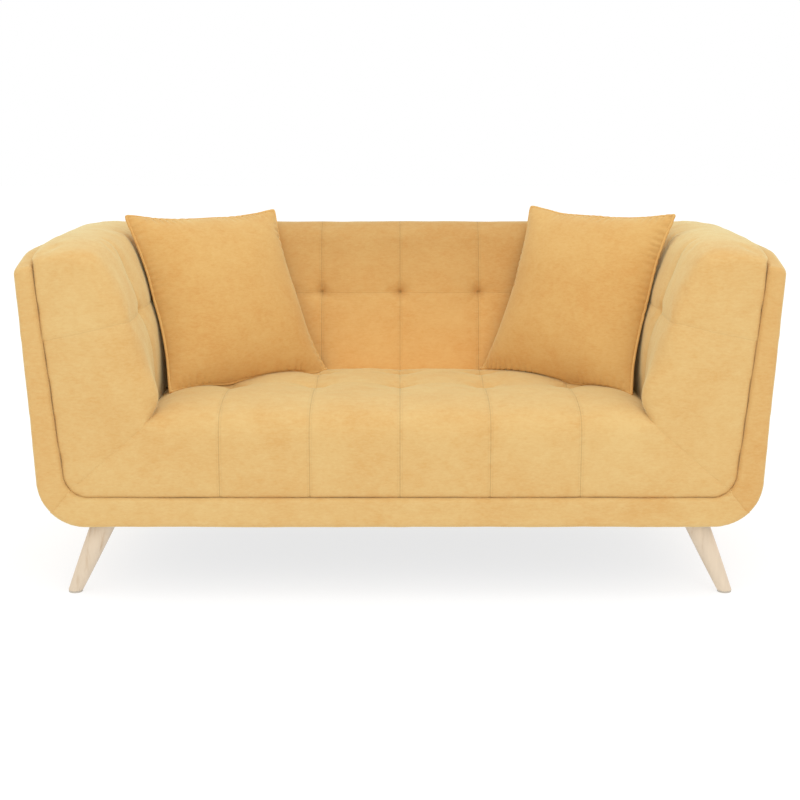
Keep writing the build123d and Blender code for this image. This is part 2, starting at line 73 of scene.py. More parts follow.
CAD_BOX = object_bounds()
SIDE_LOW, SIDE_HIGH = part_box("side_outer_cover_right")
REAR_LOW, REAR_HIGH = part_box("rear_outer_cover")
_, BORDER_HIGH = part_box("front_border_cover")
ARM_LOW, ARM_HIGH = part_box("arm_inside_cover_right")
_, SEAT_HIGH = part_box("seat_cover")
_, BACK_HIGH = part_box("back_inside_cover")
CUSHION_LOW, CUSHION_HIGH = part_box("cushion_cover_right")

FRONT = SIDE_LOW.y
BASE = SIDE_LOW.z
SHELL_TOP = SIDE_HIGH.z
BODY = "sofa"

DIAGONAL = 0.707          # share of a slanting step that runs along each axis
MITRE_LAP = 0.008         # how far seat and arm reach past their shared seam
BAND_LAP = 0.005          # how far side and border reach past the corner seam
TUCK = 0.003              # how far the pads reach into the shell
SEAT_SEAMS_WIDE = 2.4     # half the width that the seat's seams cover, in tuft pitches
BACK_SEAMS_WIDE = 3.4     # the same on the back
SEAT_TUFTS, BACK_TUFTS = 5, 7
ARM_SEAM_START = 0.032    # where the arm's level seam starts to fall, from its inner face
ARM_SEAM_FALL = 0.22

PAD_PRESSURE, PAD_FRAMES = 3.2, 16
CUSHION_PRESSURE, CUSHION_FRAMES, CUSHION_CAP, CUSHION_STIFF = 6.0, 20, 0.030, 10.0
HELD_AT_TUFT = 0.012      # cloth this near a tuft or the mitre stays put in the simulation
PAD_FILL, SHELL_FILL, CUSHION_FILL = 0.85, 0.9, 0.7

CUSHION_CELLS = 60
CUSHION_CROWN = 0.066     # half thickness of the cushion before it is blown up
CUSHION_NARROWS = 0.03    # share by which its top is narrower than its middle
PRESS_REACH = 0.08        # how far a neighbour is looked for
PRESS_GAP, PRESS_GAP_LAST = 0.0015, 0.0010

FLOOR_HALF = 12.0
CAMERA_BACK, CAMERA_UP, CAMERA_DOWN, CAMERA_LENS = 3.3514, 1.1886, 12.2, 69.27


# ---------------------------------------------------------------- settings
def length(name, text, default):
    return FloatProperty(name=name, description=text, default=default, unit="LENGTH", precision=4)


def turn(name, text, degrees):
    return FloatProperty(name=name, description=text, default=math.radians(degrees),
                         subtype="ANGLE")


def colour(name, text, default):
    return FloatVectorProperty(name=name, description=text, default=default, subtype="COLOR",
                               size=3, min=0.0, max=1.0)


class SofaSizes(bpy.types.PropertyGroup):
    shell_lean: turn("Shell lean", "How far the sides lean outwards", 3.2)
    wall_top: length("Wall at the top", "Thickness of the padded side wall at its top", 0.042)
    wall_base: length("Wall at the base", "Thickness of the padded side wall at its base", 0.066)
    shell_corner: length("Shell corner", "Radius of the shell's lower corners", 0.108)
    mitre_height: length("Mitre height", "Where the arm and seat fronts meet", 0.400)
    panel_corner: length("Panel corner", "Rounding where the pads meet the shell's corner", 0.055)
    seat_roll: length("Seat roll", "Radius of the seat's front edge", 0.066)
    back_lean: turn("Back lean", "How far the back leans", 16.0)
    tuft_pitch: length("Tuft pitch", "Distance between tufts", 0.204)
    tuft_height: length("Tuft height", "Height of the tufts in the back", 0.615)
    arm_tuft_height: length("Arm tuft height", "Height of the tufts in the arms", 0.633)
    tuft_row: length("Seat tuft row", "Front row of seat tufts, along the depth", -0.077)
    tuft_row_rear: length("Rear seat tuft row", "Rear row of seat tufts, along the depth", 0.085)
    arm_tuft: length("Arm tuft", "Front tuft of the arm, along the depth", -0.190)
    arm_tuft_rear: length("Rear arm tuft", "Rear tuft of the arm, along the depth", 0.010)


class CushionSizes(bpy.types.PropertyGroup):
    side: length("Side", "Side of the cushion cover, laid flat", 0.488)
    pipe: length("Piping", "Radius of the piping cord", 0.0036)
    lean: turn("Lean", "How far the cushion leans back", 28.0)
    turned: turn("Turn", "How far the cushion turns towards the middle", 39.0)


class SofaColours(bpy.types.PropertyGroup):
    cloth: colour("Upholstery", "Suede-like upholstery cloth", (0.662, 0.425, 0.164))
    cushion: colour("Cushion cloth", "Cloth of the scatter cushions", (0.640, 0.378, 0.126))
    wood: colour("Leg wood", "Whitewashed leg wood", (0.720, 0.590, 0.440))
    wood_grain: colour("Leg grain", "Darker grain of the leg wood", (0.520, 0.370, 0.230))


def sizes():
    return bpy.context.scene.sofa_sizes


def side_x(height):
    """Outer face of the side wall at a height."""
    return CAD_BOX[1][0] - (SHELL_TOP - height) * math.tan(sizes().shell_lean)


def wall_x(height):
    """Inner face of the side wall at a height."""
    share = (height - BASE) / (SHELL_TOP - BASE)
    wall = sizes().wall_base + (sizes().wall_top - sizes().wall_base) * share
    return side_x(height) - wall


def back_y(height):
    """Front face of the back at a height."""
    return SEAT_HIGH.y + (height - SEAT_HIGH.z) * math.tan(sizes().back_lean)


def inner_corner():
    """Centre and radius of the rounded corner where the pads meet the shell."""
    radius = sizes().panel_corner
    height = BORDER_HIGH.z + radius
    return (wall_x(height) - radius, height), radius


def mitre_ends(shift=0.0):
    """Lower and upper end of the seam between seat and arm, moved towards the arm."""
    (x, z), radius = inner_corner()
    low = (x + (radius + 0.004) * math.cos(math.radians(-45)) + shift * DIAGONAL,
           z + (radius + 0.004) * math.sin(math.radians(-45)) + shift * DIAGONAL)
    high = (ARM_LOW.x - 0.012 + shift * DIAGONAL, sizes().mitre_height + shift * DIAGONAL)
    return low, high


# ---------------------------------------------------------------- mesh helpers
def new_object(name, mesh):
    obj = bpy.data.objects.new(name, mesh)
    bpy.context.scene.collection.objects.link(obj)
    return obj


def object_from(bm, name):
    mesh = bpy.data.meshes.new(name)
    bm.to_mesh(mesh)
    bm.free()
    return new_object(name, mesh)


def outline_solid(corners, place, low, high):
    """A solid from an outline of corners (a, b, rounding), run from low to high.

    place(a, b, c) gives the point for outline coordinates a, b at distance c.
    """
    bm = bmesh.new()
    verts = [bm.verts.new(place(a, b, low)) for a, b, _ in corners]
    bm.faces.new(verts)
    for vert, (_, _, rounding) in zip(verts, corners):
        if rounding > 0:
            bmesh.ops.bevel(bm, geom=[vert], affect="VERTICES", offset=rounding,
                            segments=8, profile=0.5, material=-1)
    face = bm.faces[:][0]
    made = bmesh.ops.extrude_face_region(bm, geom=[face])
    moved = [g for g in made["geom"] if isinstance(g, bmesh.types.BMVert)]
    shift = Vector(place(0, 0, high)) - Vector(place(0, 0, low))
    bmesh.ops.translate(bm, verts=moved, vec=shift)
    bmesh.ops.recalc_face_normals(bm, faces=bm.faces)
    return bm


def front_view(a, b, c):
    return (a, c, b)


def side_view(a, b, c):
    return (c, a, b)


def through(places, steps=6):
    """A smooth curve through the given places, both ends included."""
    spots = [np.array(p, float) for p in places]
    spots = [2 * spots[0] - spots[1]] + spots + [2 * spots[-1] - spots[-2]]
    made = []
    for a, b, c, d in zip(spots, spots[1:], spots[2:], spots[3:]):
        for t in np.arange(steps) / steps:
            bend = (2 * a - 5 * b + 4 * c - d) * t ** 2 + (3 * b - a - 3 * c + d) * t ** 3
            made.append(tuple(0.5 * (2 * b + (c - a) * t + bend)))
    made.append(tuple(spots[-2]))
    return made


def arc(centre, radius, first, last, steps=8):
    angles = np.radians(np.linspace(first, last, steps + 1))
    return [(centre[0] + radius * math.cos(a), centre[1] + radius * math.sin(a)) for a in angles]


def mirrored(places):
    """The same places on the left, in the opposite order."""
    return [(-x, z) for x, z in reversed(places)]


def rounded_run(outline, shares, low, high, at_low, at_high, steps=7):
    """A solid from a front-view outline (counter-clockwise), run from low to high in depth.

    Its end edges round off by at_low and at_high, times each point's share.
    """
    loop = np.array(outline)
    along = np.roll(loop, -1, 0) - np.roll(loop, 1, 0)
    along /= np.linalg.norm(along, axis=1)[:, None]
    inward = np.stack([-along[:, 1], along[:, 0]], 1) * np.array(shares)[:, None]
    angles = np.radians(np.linspace(0, 90, steps + 1))
    rings = [(low + at_low * (1 - math.cos(a)), at_low * (1 - math.sin(a))) for a in angles]
    rings += [(high - at_high * (1 - math.cos(a)), at_high * (1 - math.sin(a)))
              for a in angles[::-1]]
    bm = bmesh.new()
    loops = [[bm.verts.new((x, run, z)) for x, z in loop + inward * deep] for run, deep in rings]
    for one, two in zip(loops, loops[1:]):
        for i in range(len(one)):
            j = (i + 1) % len(one)
            bm.faces.new((one[i], one[j], two[j], two[i]))
    bm.faces.new(loops[0])
    bm.faces.new(loops[-1])
    bmesh.ops.recalc_face_normals(bm, faces=bm.faces)
    return bm


def joined(first, second):
    """Both shapes in one mesh."""
    mesh = bpy.data.meshes.new("part")
    second.to_mesh(mesh)
    second.free()
    first.from_mesh(mesh)
    bpy.data.meshes.remove(mesh)
    return first


def soften(bm, chosen, offset, segments=5):
    """Rounds the edges for which chosen(edge) is true."""
    edges = [e for e in bm.edges if chosen(e)]
    bmesh.ops.bevel(bm, geom=edges, affect="EDGES", offset=offset, segments=segments,
                    profile=0.5, material=-1, clamp_overlap=True)


def lies_at(edge, axis, value):
    return all(abs(v.co[axis] - value) < 1e-4 for v in edge.verts)


def bake(obj):
    """Applies every modifier to the mesh."""
    graph = bpy.context.evaluated_depsgraph_get()
    mesh = bpy.data.meshes.new_from_object(obj.evaluated_get(graph))
    mesh.name = obj.name
    obj.modifiers.clear()
    old = obj.data
    obj.data = mesh
    bpy.data.meshes.remove(old)


def remesh(obj, size):
    mod = obj.modifiers.new("Remesh", "REMESH")
    mod.mode = "VOXEL"
    mod.voxel_size = size
    mod.use_smooth_shade = True
    bake(obj)


def subdivide(obj):
    mod = obj.modifiers.new("Subdivision", "SUBSURF")
    mod.levels = 1
    mod.render_levels = 1
    bake(obj)


def points(obj):
    co = np.empty(len(obj.data.vertices) * 3)
    obj.data.vertices.foreach_get("co", co)
    return co.reshape(-1, 3)


def normals(obj):
    no = np.empty(len(obj.data.vertices) * 3)
    obj.data.vertices.foreach_get("normal", no)
    return no.reshape(-1, 3)


def set_points(obj, co):
    obj.data.vertices.foreach_set("co", np.ascontiguousarray(co).ravel())
    obj.data.update()


def smooth(obj, factor, times):
    bm = bmesh.new()
    bm.from_mesh(obj.data)
    for _ in range(times):
        bmesh.ops.smooth_vert(bm, verts=bm.verts, factor=factor, use_axis_x=True,
                              use_axis_y=True, use_axis_z=True)
    bm.to_mesh(obj.data)
    bm.free()


def rumple(co, cell, seed):
    """Smooth noise between -1 and 1 at each point, with features about one cell wide."""
    shift = Vector((seed * 7.31, seed * 3.17, seed * 5.93))
    return np.array([noise.noise(Vector(p) / cell + shift) for p in co])


def bell(distance, width):
    return np.exp(-(distance / width) ** 2)


def swell(obj, held, pressure, frames, cap, stiffness=15.0):
    """Blows the cloth up from inside while the held points stay, and keeps the shape.

    No point ends further than the cap from where it started.
    """
    start = points(obj).copy()
    group = obj.vertex_groups.new(name="held")
    group.add([int(i) for i in np.nonzero(held)[0]], 1.0, "REPLACE")
    mod = obj.modifiers.new("Cloth", "CLOTH")
    cloth = mod.settings
    cloth.quality = 4
    cloth.mass = 0.3
    cloth.tension_stiffness = stiffness
    cloth.compression_stiffness = stiffness
    cloth.shear_stiffness = stiffness / 3
    cloth.bending_stiffness = 0.3
    cloth.use_pressure = True
    cloth.uniform_pressure_force = pressure
    cloth.vertex_group_mass = "held"
    cloth.effector_weights.gravity = 0.0
    mod.collision_settings.use_collision = False
    mod.point_cache.frame_start = 1
    mod.point_cache.frame_end = frames
    scene = bpy.context.scene
    for number in range(1, frames + 1):
        scene.frame_set(number)
    bake(obj)
    scene.frame_set(1)
    obj.vertex_groups.clear()
    moved = points(obj) - start
    far = np.linalg.norm(moved, axis=1)
    scale = cap * np.tanh(far / cap) / np.maximum(far, 1e-9)
    set_points(obj, start + moved * scale[:, None])


def finish_cloth(obj, body, slot, fill, *nodes):
    obj.data.shade_smooth()
    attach(obj, body)
    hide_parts(*nodes)


def mirror_copy(obj, name):
    """The left-hand twin of a right-hand piece."""
    bm = bmesh.new()
    bm.from_mesh(obj.data)
    bmesh.ops.scale(bm, verts=bm.verts, vec=(-1, 1, 1))
    bmesh.ops.reverse_faces(bm, faces=bm.faces)
    return object_from(bm, name)


# ---------------------------------------------------------------- node helpers
class Nodes:
    """Short calls for building a material's node tree."""

    def __init__(self, name):
        self.material = bpy.data.materials.new(name)
        self.material.use_nodes = True
        self.tree = self.material.node_tree
        self.shader = self.tree.nodes["Principled BSDF"]
        coord = self.add("ShaderNodeTexCoord")
        self.place = coord.outputs["Object"]

    def add(self, kind, **values):
        node = self.tree.nodes.new(kind)
        for key, value in values.items():
            setattr(node, key, value)
        return node

    def put(self, value, socket):
        if isinstance(value, bpy.types.NodeSocket):
            self.tree.links.new(value, socket)
        else:
            socket.default_value = value

    def math(self, operation, a, b=0.0, c=0.0):
        node = self.add("ShaderNodeMath", operation=operation)
        for value, socket in zip((a, b, c), node.inputs):
            self.put(value, socket)
        return node.outputs[0]

    def noise(self, scale, detail=3.0, rough=0.5, stretch=(1, 1, 1)):
        mapping = self.add("ShaderNodeMapping")
        self.put(self.place, mapping.inputs["Vector"])
        mapping.inputs["Scale"].default_value = stretch
        node = self.add("ShaderNodeTexNoise")
        self.put(mapping.outputs[0], node.inputs["Vector"])
        node.inputs["Scale"].default_value = scale
        node.inputs["Detail"].default_value = detail
        node.inputs["Roughness"].default_value = rough
        return node.outputs["Fac"]

    def ramp(self, fac, *stops):
        node = self.add("ShaderNodeValToRGB")
        self.put(fac, node.inputs["Fac"])
        elements = node.color_ramp.elements
        while len(elements) < len(stops):
            elements.new(0.5)
        for element, (place, shade) in zip(elements, stops):
            element.position = place
            element.color = (*shade, 1.0)
        return node.outputs["Color"]

    def rescale(self, value, from_low, from_high, to_low, to_high):
        node = self.add("ShaderNodeMapRange")
        for number, socket in zip((value, from_low, from_high, to_low, to_high), node.inputs):
            self.put(number, socket)
        return node.outputs["Result"]

    def bump(self, height, distance, strength, under=None):
        node = self.add("ShaderNodeBump")
        self.put(height, node.inputs["Height"])
        node.inputs["Distance"].default_value = distance
        node.inputs["Strength"].default_value = strength
        if under is not None:
            self.put(under, node.inputs["Normal"])
        return node.outputs["Normal"]

    def axes(self):
        node = self.add("ShaderNodeSeparateXYZ")
        self.put(self.place, node.inputs[0])
        return node.outputs


def tone(shade, amount):
    return tuple(min(1.0, c * amount) for c in shade)


def nap_and_painted_shade_tone(shade, amount):
    """Brushed one way the pile looks deeper and warmer, the other way paler. Whole pieces also get
    these tones as painted shade: a darker, warmer copy of the cloth.
    """
    red, green, blue = shade
    return (min(1.0, red * (1 + 0.35 * amount)), green * (1 + amount), blue * (1 + 1.7 * amount))


def near_pitch(n, value, pitch):
    """Distance to the nearest multiple of a pitch."""
    return n.math("PINGPONG", value, pitch / 2)


def near_place(n, value, place):
    return n.math("ABSOLUTE", n.math("SUBTRACT", value, place))


def seam_height(n, distance, run):
    """A narrow groove with a faint row of stitches beside it: 0 is the cloth's surface."""
    groove = n.rescale(distance, 0.0, 0.0016, -1.0, 0.0)
    beside = n.math("ABSOLUTE", n.math("SUBTRACT", distance, 0.0050))
    row = n.rescale(beside, 0.0004, 0.0012, -0.30, 0.0)
    dash = n.math("GREATER_THAN", n.math("FRACT", n.math("MULTIPLY", run, 220.0)), 0.22)
    return n.math("ADD", groove, n.math("MULTIPLY", row, dash))


def tuft_mark(n, across, along):
    """The small pull where a tie draws the cloth in, which suede() darkens with painted shade."""
    square = n.math("MULTIPLY_ADD", across, across, n.math("MULTIPLY", along, along))
    return n.rescale(n.math("SQRT", square), 0.0015, 0.0060, -2.0, 0.0)


def mitre_seam(n, x, z):
    """The slanting seam between seat and arm."""
    low, high = mitre_ends()
    long = math.hypot(high[0] - low[0], high[1] - low[1])
    across = ((low[1] - high[1]) / long, (high[0] - low[0]) / long)
    side = n.math("MULTIPLY", n.math("SUBTRACT", n.math("ABSOLUTE", x), low[0]), across[0])
    rise = n.math("MULTIPLY", n.math("SUBTRACT", z, low[1]), across[1])
    distance = n.math("ABSOLUTE", n.math("ADD", side, rise))
    above = n.math("GREATER_THAN", z, high[1])
    return n.rescale(n.math("ADD", distance, above), 0.0, 0.0014, -0.12, 0.0)


def suede(name, shade, seams=None, painted_shade_by_height=None):
    """Soft brushed cloth: patchy nap, streaked fibres, a fine pile and a soft sheen; where seams
    are given, painted shade darkens their grooves and tufts, and can also vary with height.
    """
    n = Nodes(name)
    patches = n.noise(7.0, 4.0, 0.6)
    nap = n.noise(60.0, 5.0, 0.7, stretch=(0.6, 0.6, 1.0))
    fibre = n.noise(260.0, 4.0, 0.7, stretch=(0.35, 0.35, 1.0))
    pile = n.noise(900.0, 3.0, 0.7)
    mixed = n.math("ADD", n.math("MULTIPLY", patches, 0.36), n.math("MULTIPLY", nap, 0.26))
    mixed = n.math("ADD", mixed, n.math("MULTIPLY", fibre, 0.38))
    cloth = n.ramp(mixed, (0.39, nap_and_painted_shade_tone(shade, -0.12)), (0.50, shade),
                   (0.61, nap_and_painted_shade_tone(shade, 0.10)))
    normal = n.bump(nap, 0.0012, 0.25)
    normal = n.bump(fibre, 0.0006, 0.35, normal)
    normal = n.bump(pile, 0.0004, 0.35, normal)
    if seams is not None:
        height = seams(n)
        normal = n.bump(height, 0.0012, 0.60, normal)
        # Painted shade: the colour darkens where the seams' grooves, stitch rows and tuft pulls
        # sink in, most at the tufts.
        depth = n.rescale(height, -2.0, 0.0, 0.70, 1.0)
        # Painted shade and light: the colour grows darker or lighter with height, between the given
        # heights and factors.
        if painted_shade_by_height is not None:
            depth = n.math("MULTIPLY", depth, n.rescale(n.axes()[2], *painted_shade_by_height))
        grey = n.add("ShaderNodeCombineColor")
        for socket in grey.inputs[:3]:
            n.put(depth, socket)
        mix = n.add("ShaderNodeMix", data_type="RGBA", blend_type="MULTIPLY")
        n.put(1.0, mix.inputs[0])
        n.put(cloth, mix.inputs[6])
        n.put(grey.outputs[0], mix.inputs[7])
        cloth = mix.outputs[2]
    n.put(cloth, n.shader.inputs["Base Color"])
    n.put(n.rescale(nap, 0.3, 0.7, 0.95, 0.80), n.shader.inputs["Roughness"])
    n.put(normal, n.shader.inputs["Normal"])
    n.shader.inputs["Specular IOR Level"].default_value = 0.20
    n.shader.inputs["Sheen Weight"].default_value = 0.48
    n.shader.inputs["Sheen Roughness"].default_value = 0.40
    n.shader.inputs["Sheen Tint"].default_value = (0.80, 0.93, 0.62, 1.0)
    return n.material


def seat_seams(n):
    x, y, z = n.axes()[:3]
    inside = n.math("LESS_THAN", n.math("ABSOLUTE", x), sizes().tuft_pitch * SEAT_SEAMS_WIDE)
    distance = near_pitch(n, x, sizes().tuft_pitch)
    distance = n.math("ADD", distance, n.math("SUBTRACT", 1.0, inside))
    upright = seam_height(n, distance, n.math("ADD", y, z))
    drawn = n.math("MINIMUM", upright, mitre_seam(n, x, z))
    return n.math("MINIMUM", drawn, tuft_mark(n, distance, near_place(n, y, sizes().tuft_row)))


def back_seams(n):
    x, _, z = n.axes()[:3]
    inside = n.math("LESS_THAN", n.math("ABSOLUTE", x), sizes().tuft_pitch * BACK_SEAMS_WIDE)
    distance = near_pitch(n, x, sizes().tuft_pitch)
    distance = n.math("ADD", distance, n.math("SUBTRACT", 1.0, inside))
    upright = seam_height(n, distance, z)
    level = seam_height(n, near_place(n, z, sizes().tuft_height), x)
    drawn = n.math("MINIMUM", upright, n.math("MULTIPLY", level, 0.5))
    mark = tuft_mark(n, distance, near_place(n, z, sizes().tuft_height))
    return n.math("MINIMUM", drawn, mark)


def arm_seams(n):
    x, y, z = n.axes()[:3]
    reach = n.math("SUBTRACT", n.math("ABSOLUTE", x), ARM_LOW.x + ARM_SEAM_START)
    fall = n.math("MULTIPLY", n.math("MAXIMUM", reach, 0.0), ARM_SEAM_FALL)
    level = seam_height(n, near_place(n, n.math("ADD", z, fall), sizes().arm_tuft_height), x)
    first = near_place(n, y, sizes().arm_tuft)
    second = near_place(n, y, sizes().arm_tuft_rear)
    distance = n.math("MINIMUM", first, second)
    outside = n.math("GREATER_THAN", n.math("ABSOLUTE", x), ARM_LOW.x + 0.072)
    upright = seam_height(n, n.math("ADD", distance, outside), z)
    drawn = n.math("MINIMUM", n.math("MULTIPLY", level, 0.4), upright)
    return n.math("MINIMUM", drawn, mitre_seam(n, x, z))


def timber(name, light, dark, grain, stretch):
    """Wood with grain that runs along the piece."""
    n = Nodes(name)
    fibre = n.noise(grain, 6.0, 0.6, stretch=stretch)
    figure = n.noise(grain * 0.22, 3.0, 0.5, stretch=stretch)
    mixed = n.math("ADD", n.math("MULTIPLY", fibre, 0.6), n.math("MULTIPLY", figure, 0.4))
    shade = n.ramp(mixed, (0.34, dark), (0.46, tone(light, 0.92)), (0.62, light))
    n.put(shade, n.shader.inputs["Base Color"])
    n.put(n.rescale(fibre, 0.3, 0.7, 0.62, 0.45), n.shader.inputs["Roughness"])
    n.put(n.bump(fibre, 0.0006, 0.35), n.shader.inputs["Normal"])
    return n.material


def foamy(name, light, dark, cell):
    """Open-cell foam, wadding or board: small cells and a soft mottle."""
    n = Nodes(name)
    cells = n.noise(cell, 4.0, 0.7)
    shade = n.ramp(cells, (0.3, dark), (0.7, light))
    n.put(shade, n.shader.inputs["Base Color"])
    n.put(n.bump(cells, 0.0015, 0.6), n.shader.inputs["Normal"])
    n.shader.inputs["Roughness"].default_value = 0.95
    return n.material


def steel(name, shade, rough):
    n = Nodes(name)
    brushed = n.noise(400.0, 3.0, 0.6, stretch=(1.0, 0.2, 1.0))
    n.put(n.ramp(brushed, (0.2, tone(shade, 0.8)), (0.8, shade)), n.shader.inputs["Base Color"])
    n.put(n.rescale(brushed, 0.2, 0.8, rough * 0.8, rough * 1.3), n.shader.inputs["Roughness"])
    n.put(n.bump(brushed, 0.0002, 0.3), n.shader.inputs["Normal"])
    n.shader.inputs["Metallic"].default_value = 1.0
    return n.material


def weave(name, light, dark, pitch):
    """Plain woven cloth, such as webbing or the cloth under the seat."""
    n = Nodes(name)
    x, y, z = n.axes()[:3]
    one = n.math("SINE", n.math("MULTIPLY", x, math.tau / pitch))
    two = n.math("SINE", n.math("MULTIPLY", n.math("ADD", y, z), math.tau / pitch))
    threads = n.math("MULTIPLY_ADD", n.math("MULTIPLY", one, two), 0.5, 0.5)
    fuzz = n.noise(500.0, 3.0, 0.6)
    mixed = n.math("ADD", n.math("MULTIPLY", threads, 0.6), n.math("MULTIPLY", fuzz, 0.4))
    n.put(n.ramp(mixed, (0.2, dark), (0.8, light)), n.shader.inputs["Base Color"])
    n.put(n.bump(mixed, 0.0005, 0.7), n.shader.inputs["Normal"])
    n.shader.inputs["Roughness"].default_value = 0.9
    return n.material


def plastic(name, shade):
    n = Nodes(name)
    grain = n.noise(600.0, 3.0, 0.5)
    mottle = n.ramp(grain, (0.3, tone(shade, 0.85)), (0.7, tone(shade, 1.1)))
    n.put(mottle, n.shader.inputs["Base Color"])
    n.put(n.bump(grain, 0.0002, 0.4), n.shader.inputs["Normal"])
    n.shader.inputs["Roughness"].default_value = 0.45
    return n.material


def dress(obj, material):
    obj.data.materials.clear()
    obj.data.materials.append(material)
    for face in obj.data.polygons:
        face.material_index = 0


# ---------------------------------------------------------------- seat, arms and back
def tuft_columns(count):
    middle = (count - 1) / 2
    return [(i - middle) * sizes().tuft_pitch for i in range(count)]


def pull_tufts(co, no, places, along, deep):
    """Draws the cloth in at each tuft, with short folds fanning out from it."""
    for number, place in enumerate(places):
        away = co - np.array(place)
        away -= (away @ np.array(along))[:, None] * np.array(along)
        r = np.linalg.norm(away, axis=1)
        near = np.abs((co - np.array(place)) @ np.array(along)) < 0.09
        angle = np.arctan2(away @ across_of(along), away @ up_of(along))
        folds = np.cos(5 * angle + number * 1.7) * bell(r - 0.026, 0.020) * 0.0016
        pull = deep * (0.62 * bell(r, 0.013) + 0.38 * bell(r, 0.042)) - folds
        co = co - no * (pull * near)[:, None]
    return co


def across_of(along):
    side = Vector(along).cross(Vector((0, 0, 1)))
    if side.length < 0.1:
        side = Vector((1, 0, 0))
    return np.array(side.normalized())


def up_of(along):
    return np.cross(np.array(along), across_of(along))


def mitre_distance(co):
    """Distance of each point from the seam between seat and arm, in front view."""
    low, high = (np.array(end) for end in mitre_ends())
    along = (high - low) / np.linalg.norm(high - low)
    spot = np.stack([np.abs(co[:, 0]), co[:, 2]], 1) - low
    run = np.clip(spot @ along, 0, np.linalg.norm(high - low))
    return np.linalg.norm(spot - run[:, None] * along, axis=1)


def seat_solid():
    centre, radius = inner_corner()
    low, high = mitre_ends(MITRE_LAP)
    top = SEAT_HIGH.z
    crest = through([(high[0], high[1]), (high[0] - 0.010, top - 0.020),
                     (high[0] - 0.031, top - 0.007), (high[0] - 0.070, top - 0.002),
                     (high[0] - 0.130, top)], 5)
    right = [(0.0, BORDER_HIGH.z - TUCK)] + arc(centre, radius + TUCK, -90, -47) + [low] + crest
    outline = right + mirrored(right[1:])
    heights = np.array([z for _, z in outline])
    shares = 0.04 + 0.96 * np.clip((heights - high[1]) / (top - 0.004 - high[1]), 0, 1) ** 1.5
    return rounded_run(outline, shares, FRONT + 0.004, SEAT_HIGH.y + 0.030,
                       sizes().seat_roll, 0.010)


def seat_places(co):
    """Distance of each point from the seat's upright seams, and from its tufts."""
    s = sizes()
    column = np.abs(co[:, 0] - np.round(co[:, 0] / s.tuft_pitch) * s.tuft_pitch)
    column[np.abs(co[:, 0]) > s.tuft_pitch * SEAT_SEAMS_WIDE] = 1.0
    rows = (s.tuft_row, s.tuft_row_rear)
    spots = [np.hypot(co[:, 0] - x, co[:, 1] - y) for x in tuft_columns(SEAT_TUFTS) for y in rows]
    return column, np.where(co[:, 2] > SEAT_HIGH.z - 0.06, np.min(spots, axis=0), 1.0)


def build_seat():
    s = sizes()
    obj = object_from(seat_solid(), "seat_upholstery")
    remesh(obj, 0.0085)
    co, no = points(obj), normals(obj)
    column, _ = seat_places(co)
    shown = (no[:, 2] > -0.3) & (co[:, 1] < SEAT_HIGH.y)
    sunk = 0.0022 * bell(column, 0.012) * shown
    for row in (s.tuft_row, s.tuft_row_rear):
        sunk += 0.0042 * bell(co[:, 1] - row, 0.014) * (no[:, 2] > 0.6) * bell(column, 0.045)
    fall = np.clip((co[:, 1] - s.tuft_row_rear) / (SEAT_HIGH.y - s.tuft_row_rear), 0, 1)
    sunk += 0.014 * fall ** 2 * (no[:, 2] > 0.6)
    co = co - no * sunk[:, None]
    tufts = [(x, y, SEAT_HIGH.z) for x in tuft_columns(SEAT_TUFTS)
             for y in (s.tuft_row, s.tuft_row_rear)]
    co = pull_tufts(co, no, tufts, (0, 0, 1), 0.022)
    set_points(obj, co)
    column, spot = seat_places(co)
    held = (column < 0.0055) & (no[:, 1] < -0.5) | (no[:, 2] < -0.3) | (co[:, 1] > SEAT_HIGH.y)
    held |= (spot < HELD_AT_TUFT) & (no[:, 2] > 0.3)
    held |= (co[:, 2] < BORDER_HIGH.z + 0.010) | (mitre_distance(co) < HELD_AT_TUFT)
    swell(obj, held, PAD_PRESSURE, PAD_FRAMES, 0.009)
    smooth(obj, 0.5, 1)
    subdivide(obj)
    co, no = points(obj), normals(obj)
    column, spot = seat_places(co)
    front = no[:, 1] < -0.5
    lift = -0.0012 * bell(column, 0.0035) - 0.0060 * bell(spot, 0.006)
    lift -= 0.0004 * bell(mitre_distance(co), 0.004) * front
    for row in (s.tuft_row, s.tuft_row_rear):
        lift -= 0.0040 * bell(co[:, 1] - row, 0.005) * (no[:, 2] > 0.5) * bell(column, 0.032)
    lift += 0.0014 * rumple(co, 0.11, 1) + 0.0006 * rumple(co, 0.035, 2)
    set_points(obj, co + no * lift[:, None])
    dress(obj, suede("seat_suede", cloth_colour(), seat_seams))
    finish_cloth(obj, BODY, "sofa_fabric", PAD_FILL, "seat_cover", "seat_foam", "seat_tuft_ties")
    return obj


def arm_solid():
    centre, radius = inner_corner()
    low, high = mitre_ends(-MITRE_LAP)
    edge = wall_x(SHELL_TOP)
    crown = ARM_HIGH.z - 0.003
    near = ARM_LOW.x - 0.012
    curve = through([
        (edge + 0.002, SHELL_TOP - 0.004), (edge - 0.005, crown - 0.015),
        (edge - 0.027, crown - 0.004), (edge - 0.062, crown), (edge - 0.105, crown - 0.001),
        (near + 0.107, crown - 0.005), (near + 0.089, crown - 0.017),
        (near + 0.070, crown - 0.045), (near + 0.055, crown - 0.077),
        (near + 0.041, crown - 0.110), (near + 0.025, crown - 0.155),
        (near + 0.011, crown - 0.210), (near + 0.003, crown - 0.267), (near, crown - 0.335),
        (near + 0.001, high[1] + 0.020), (high[0], high[1]),
    ], 5)
    outline = [low] + arc(centre, radius + TUCK, -43, 0) + curve
    shares = []
    for x, z in outline:
        inner = min(1.0, max(0.0, (edge - 0.060 - x) / 0.060))
        above = min(1.0, max(0.0, (z - high[1] - 0.004) / 0.050))
        crowned = 0.42 * min(1.0, max(0.0, (z - SHELL_TOP + 0.004) / 0.020))
        shares.append(0.07 + 0.93 * max(inner * above, crowned))
    return rounded_run(outline, shares, FRONT + 0.005, BACK_HIGH.y - 0.075, 0.046, 0.030)


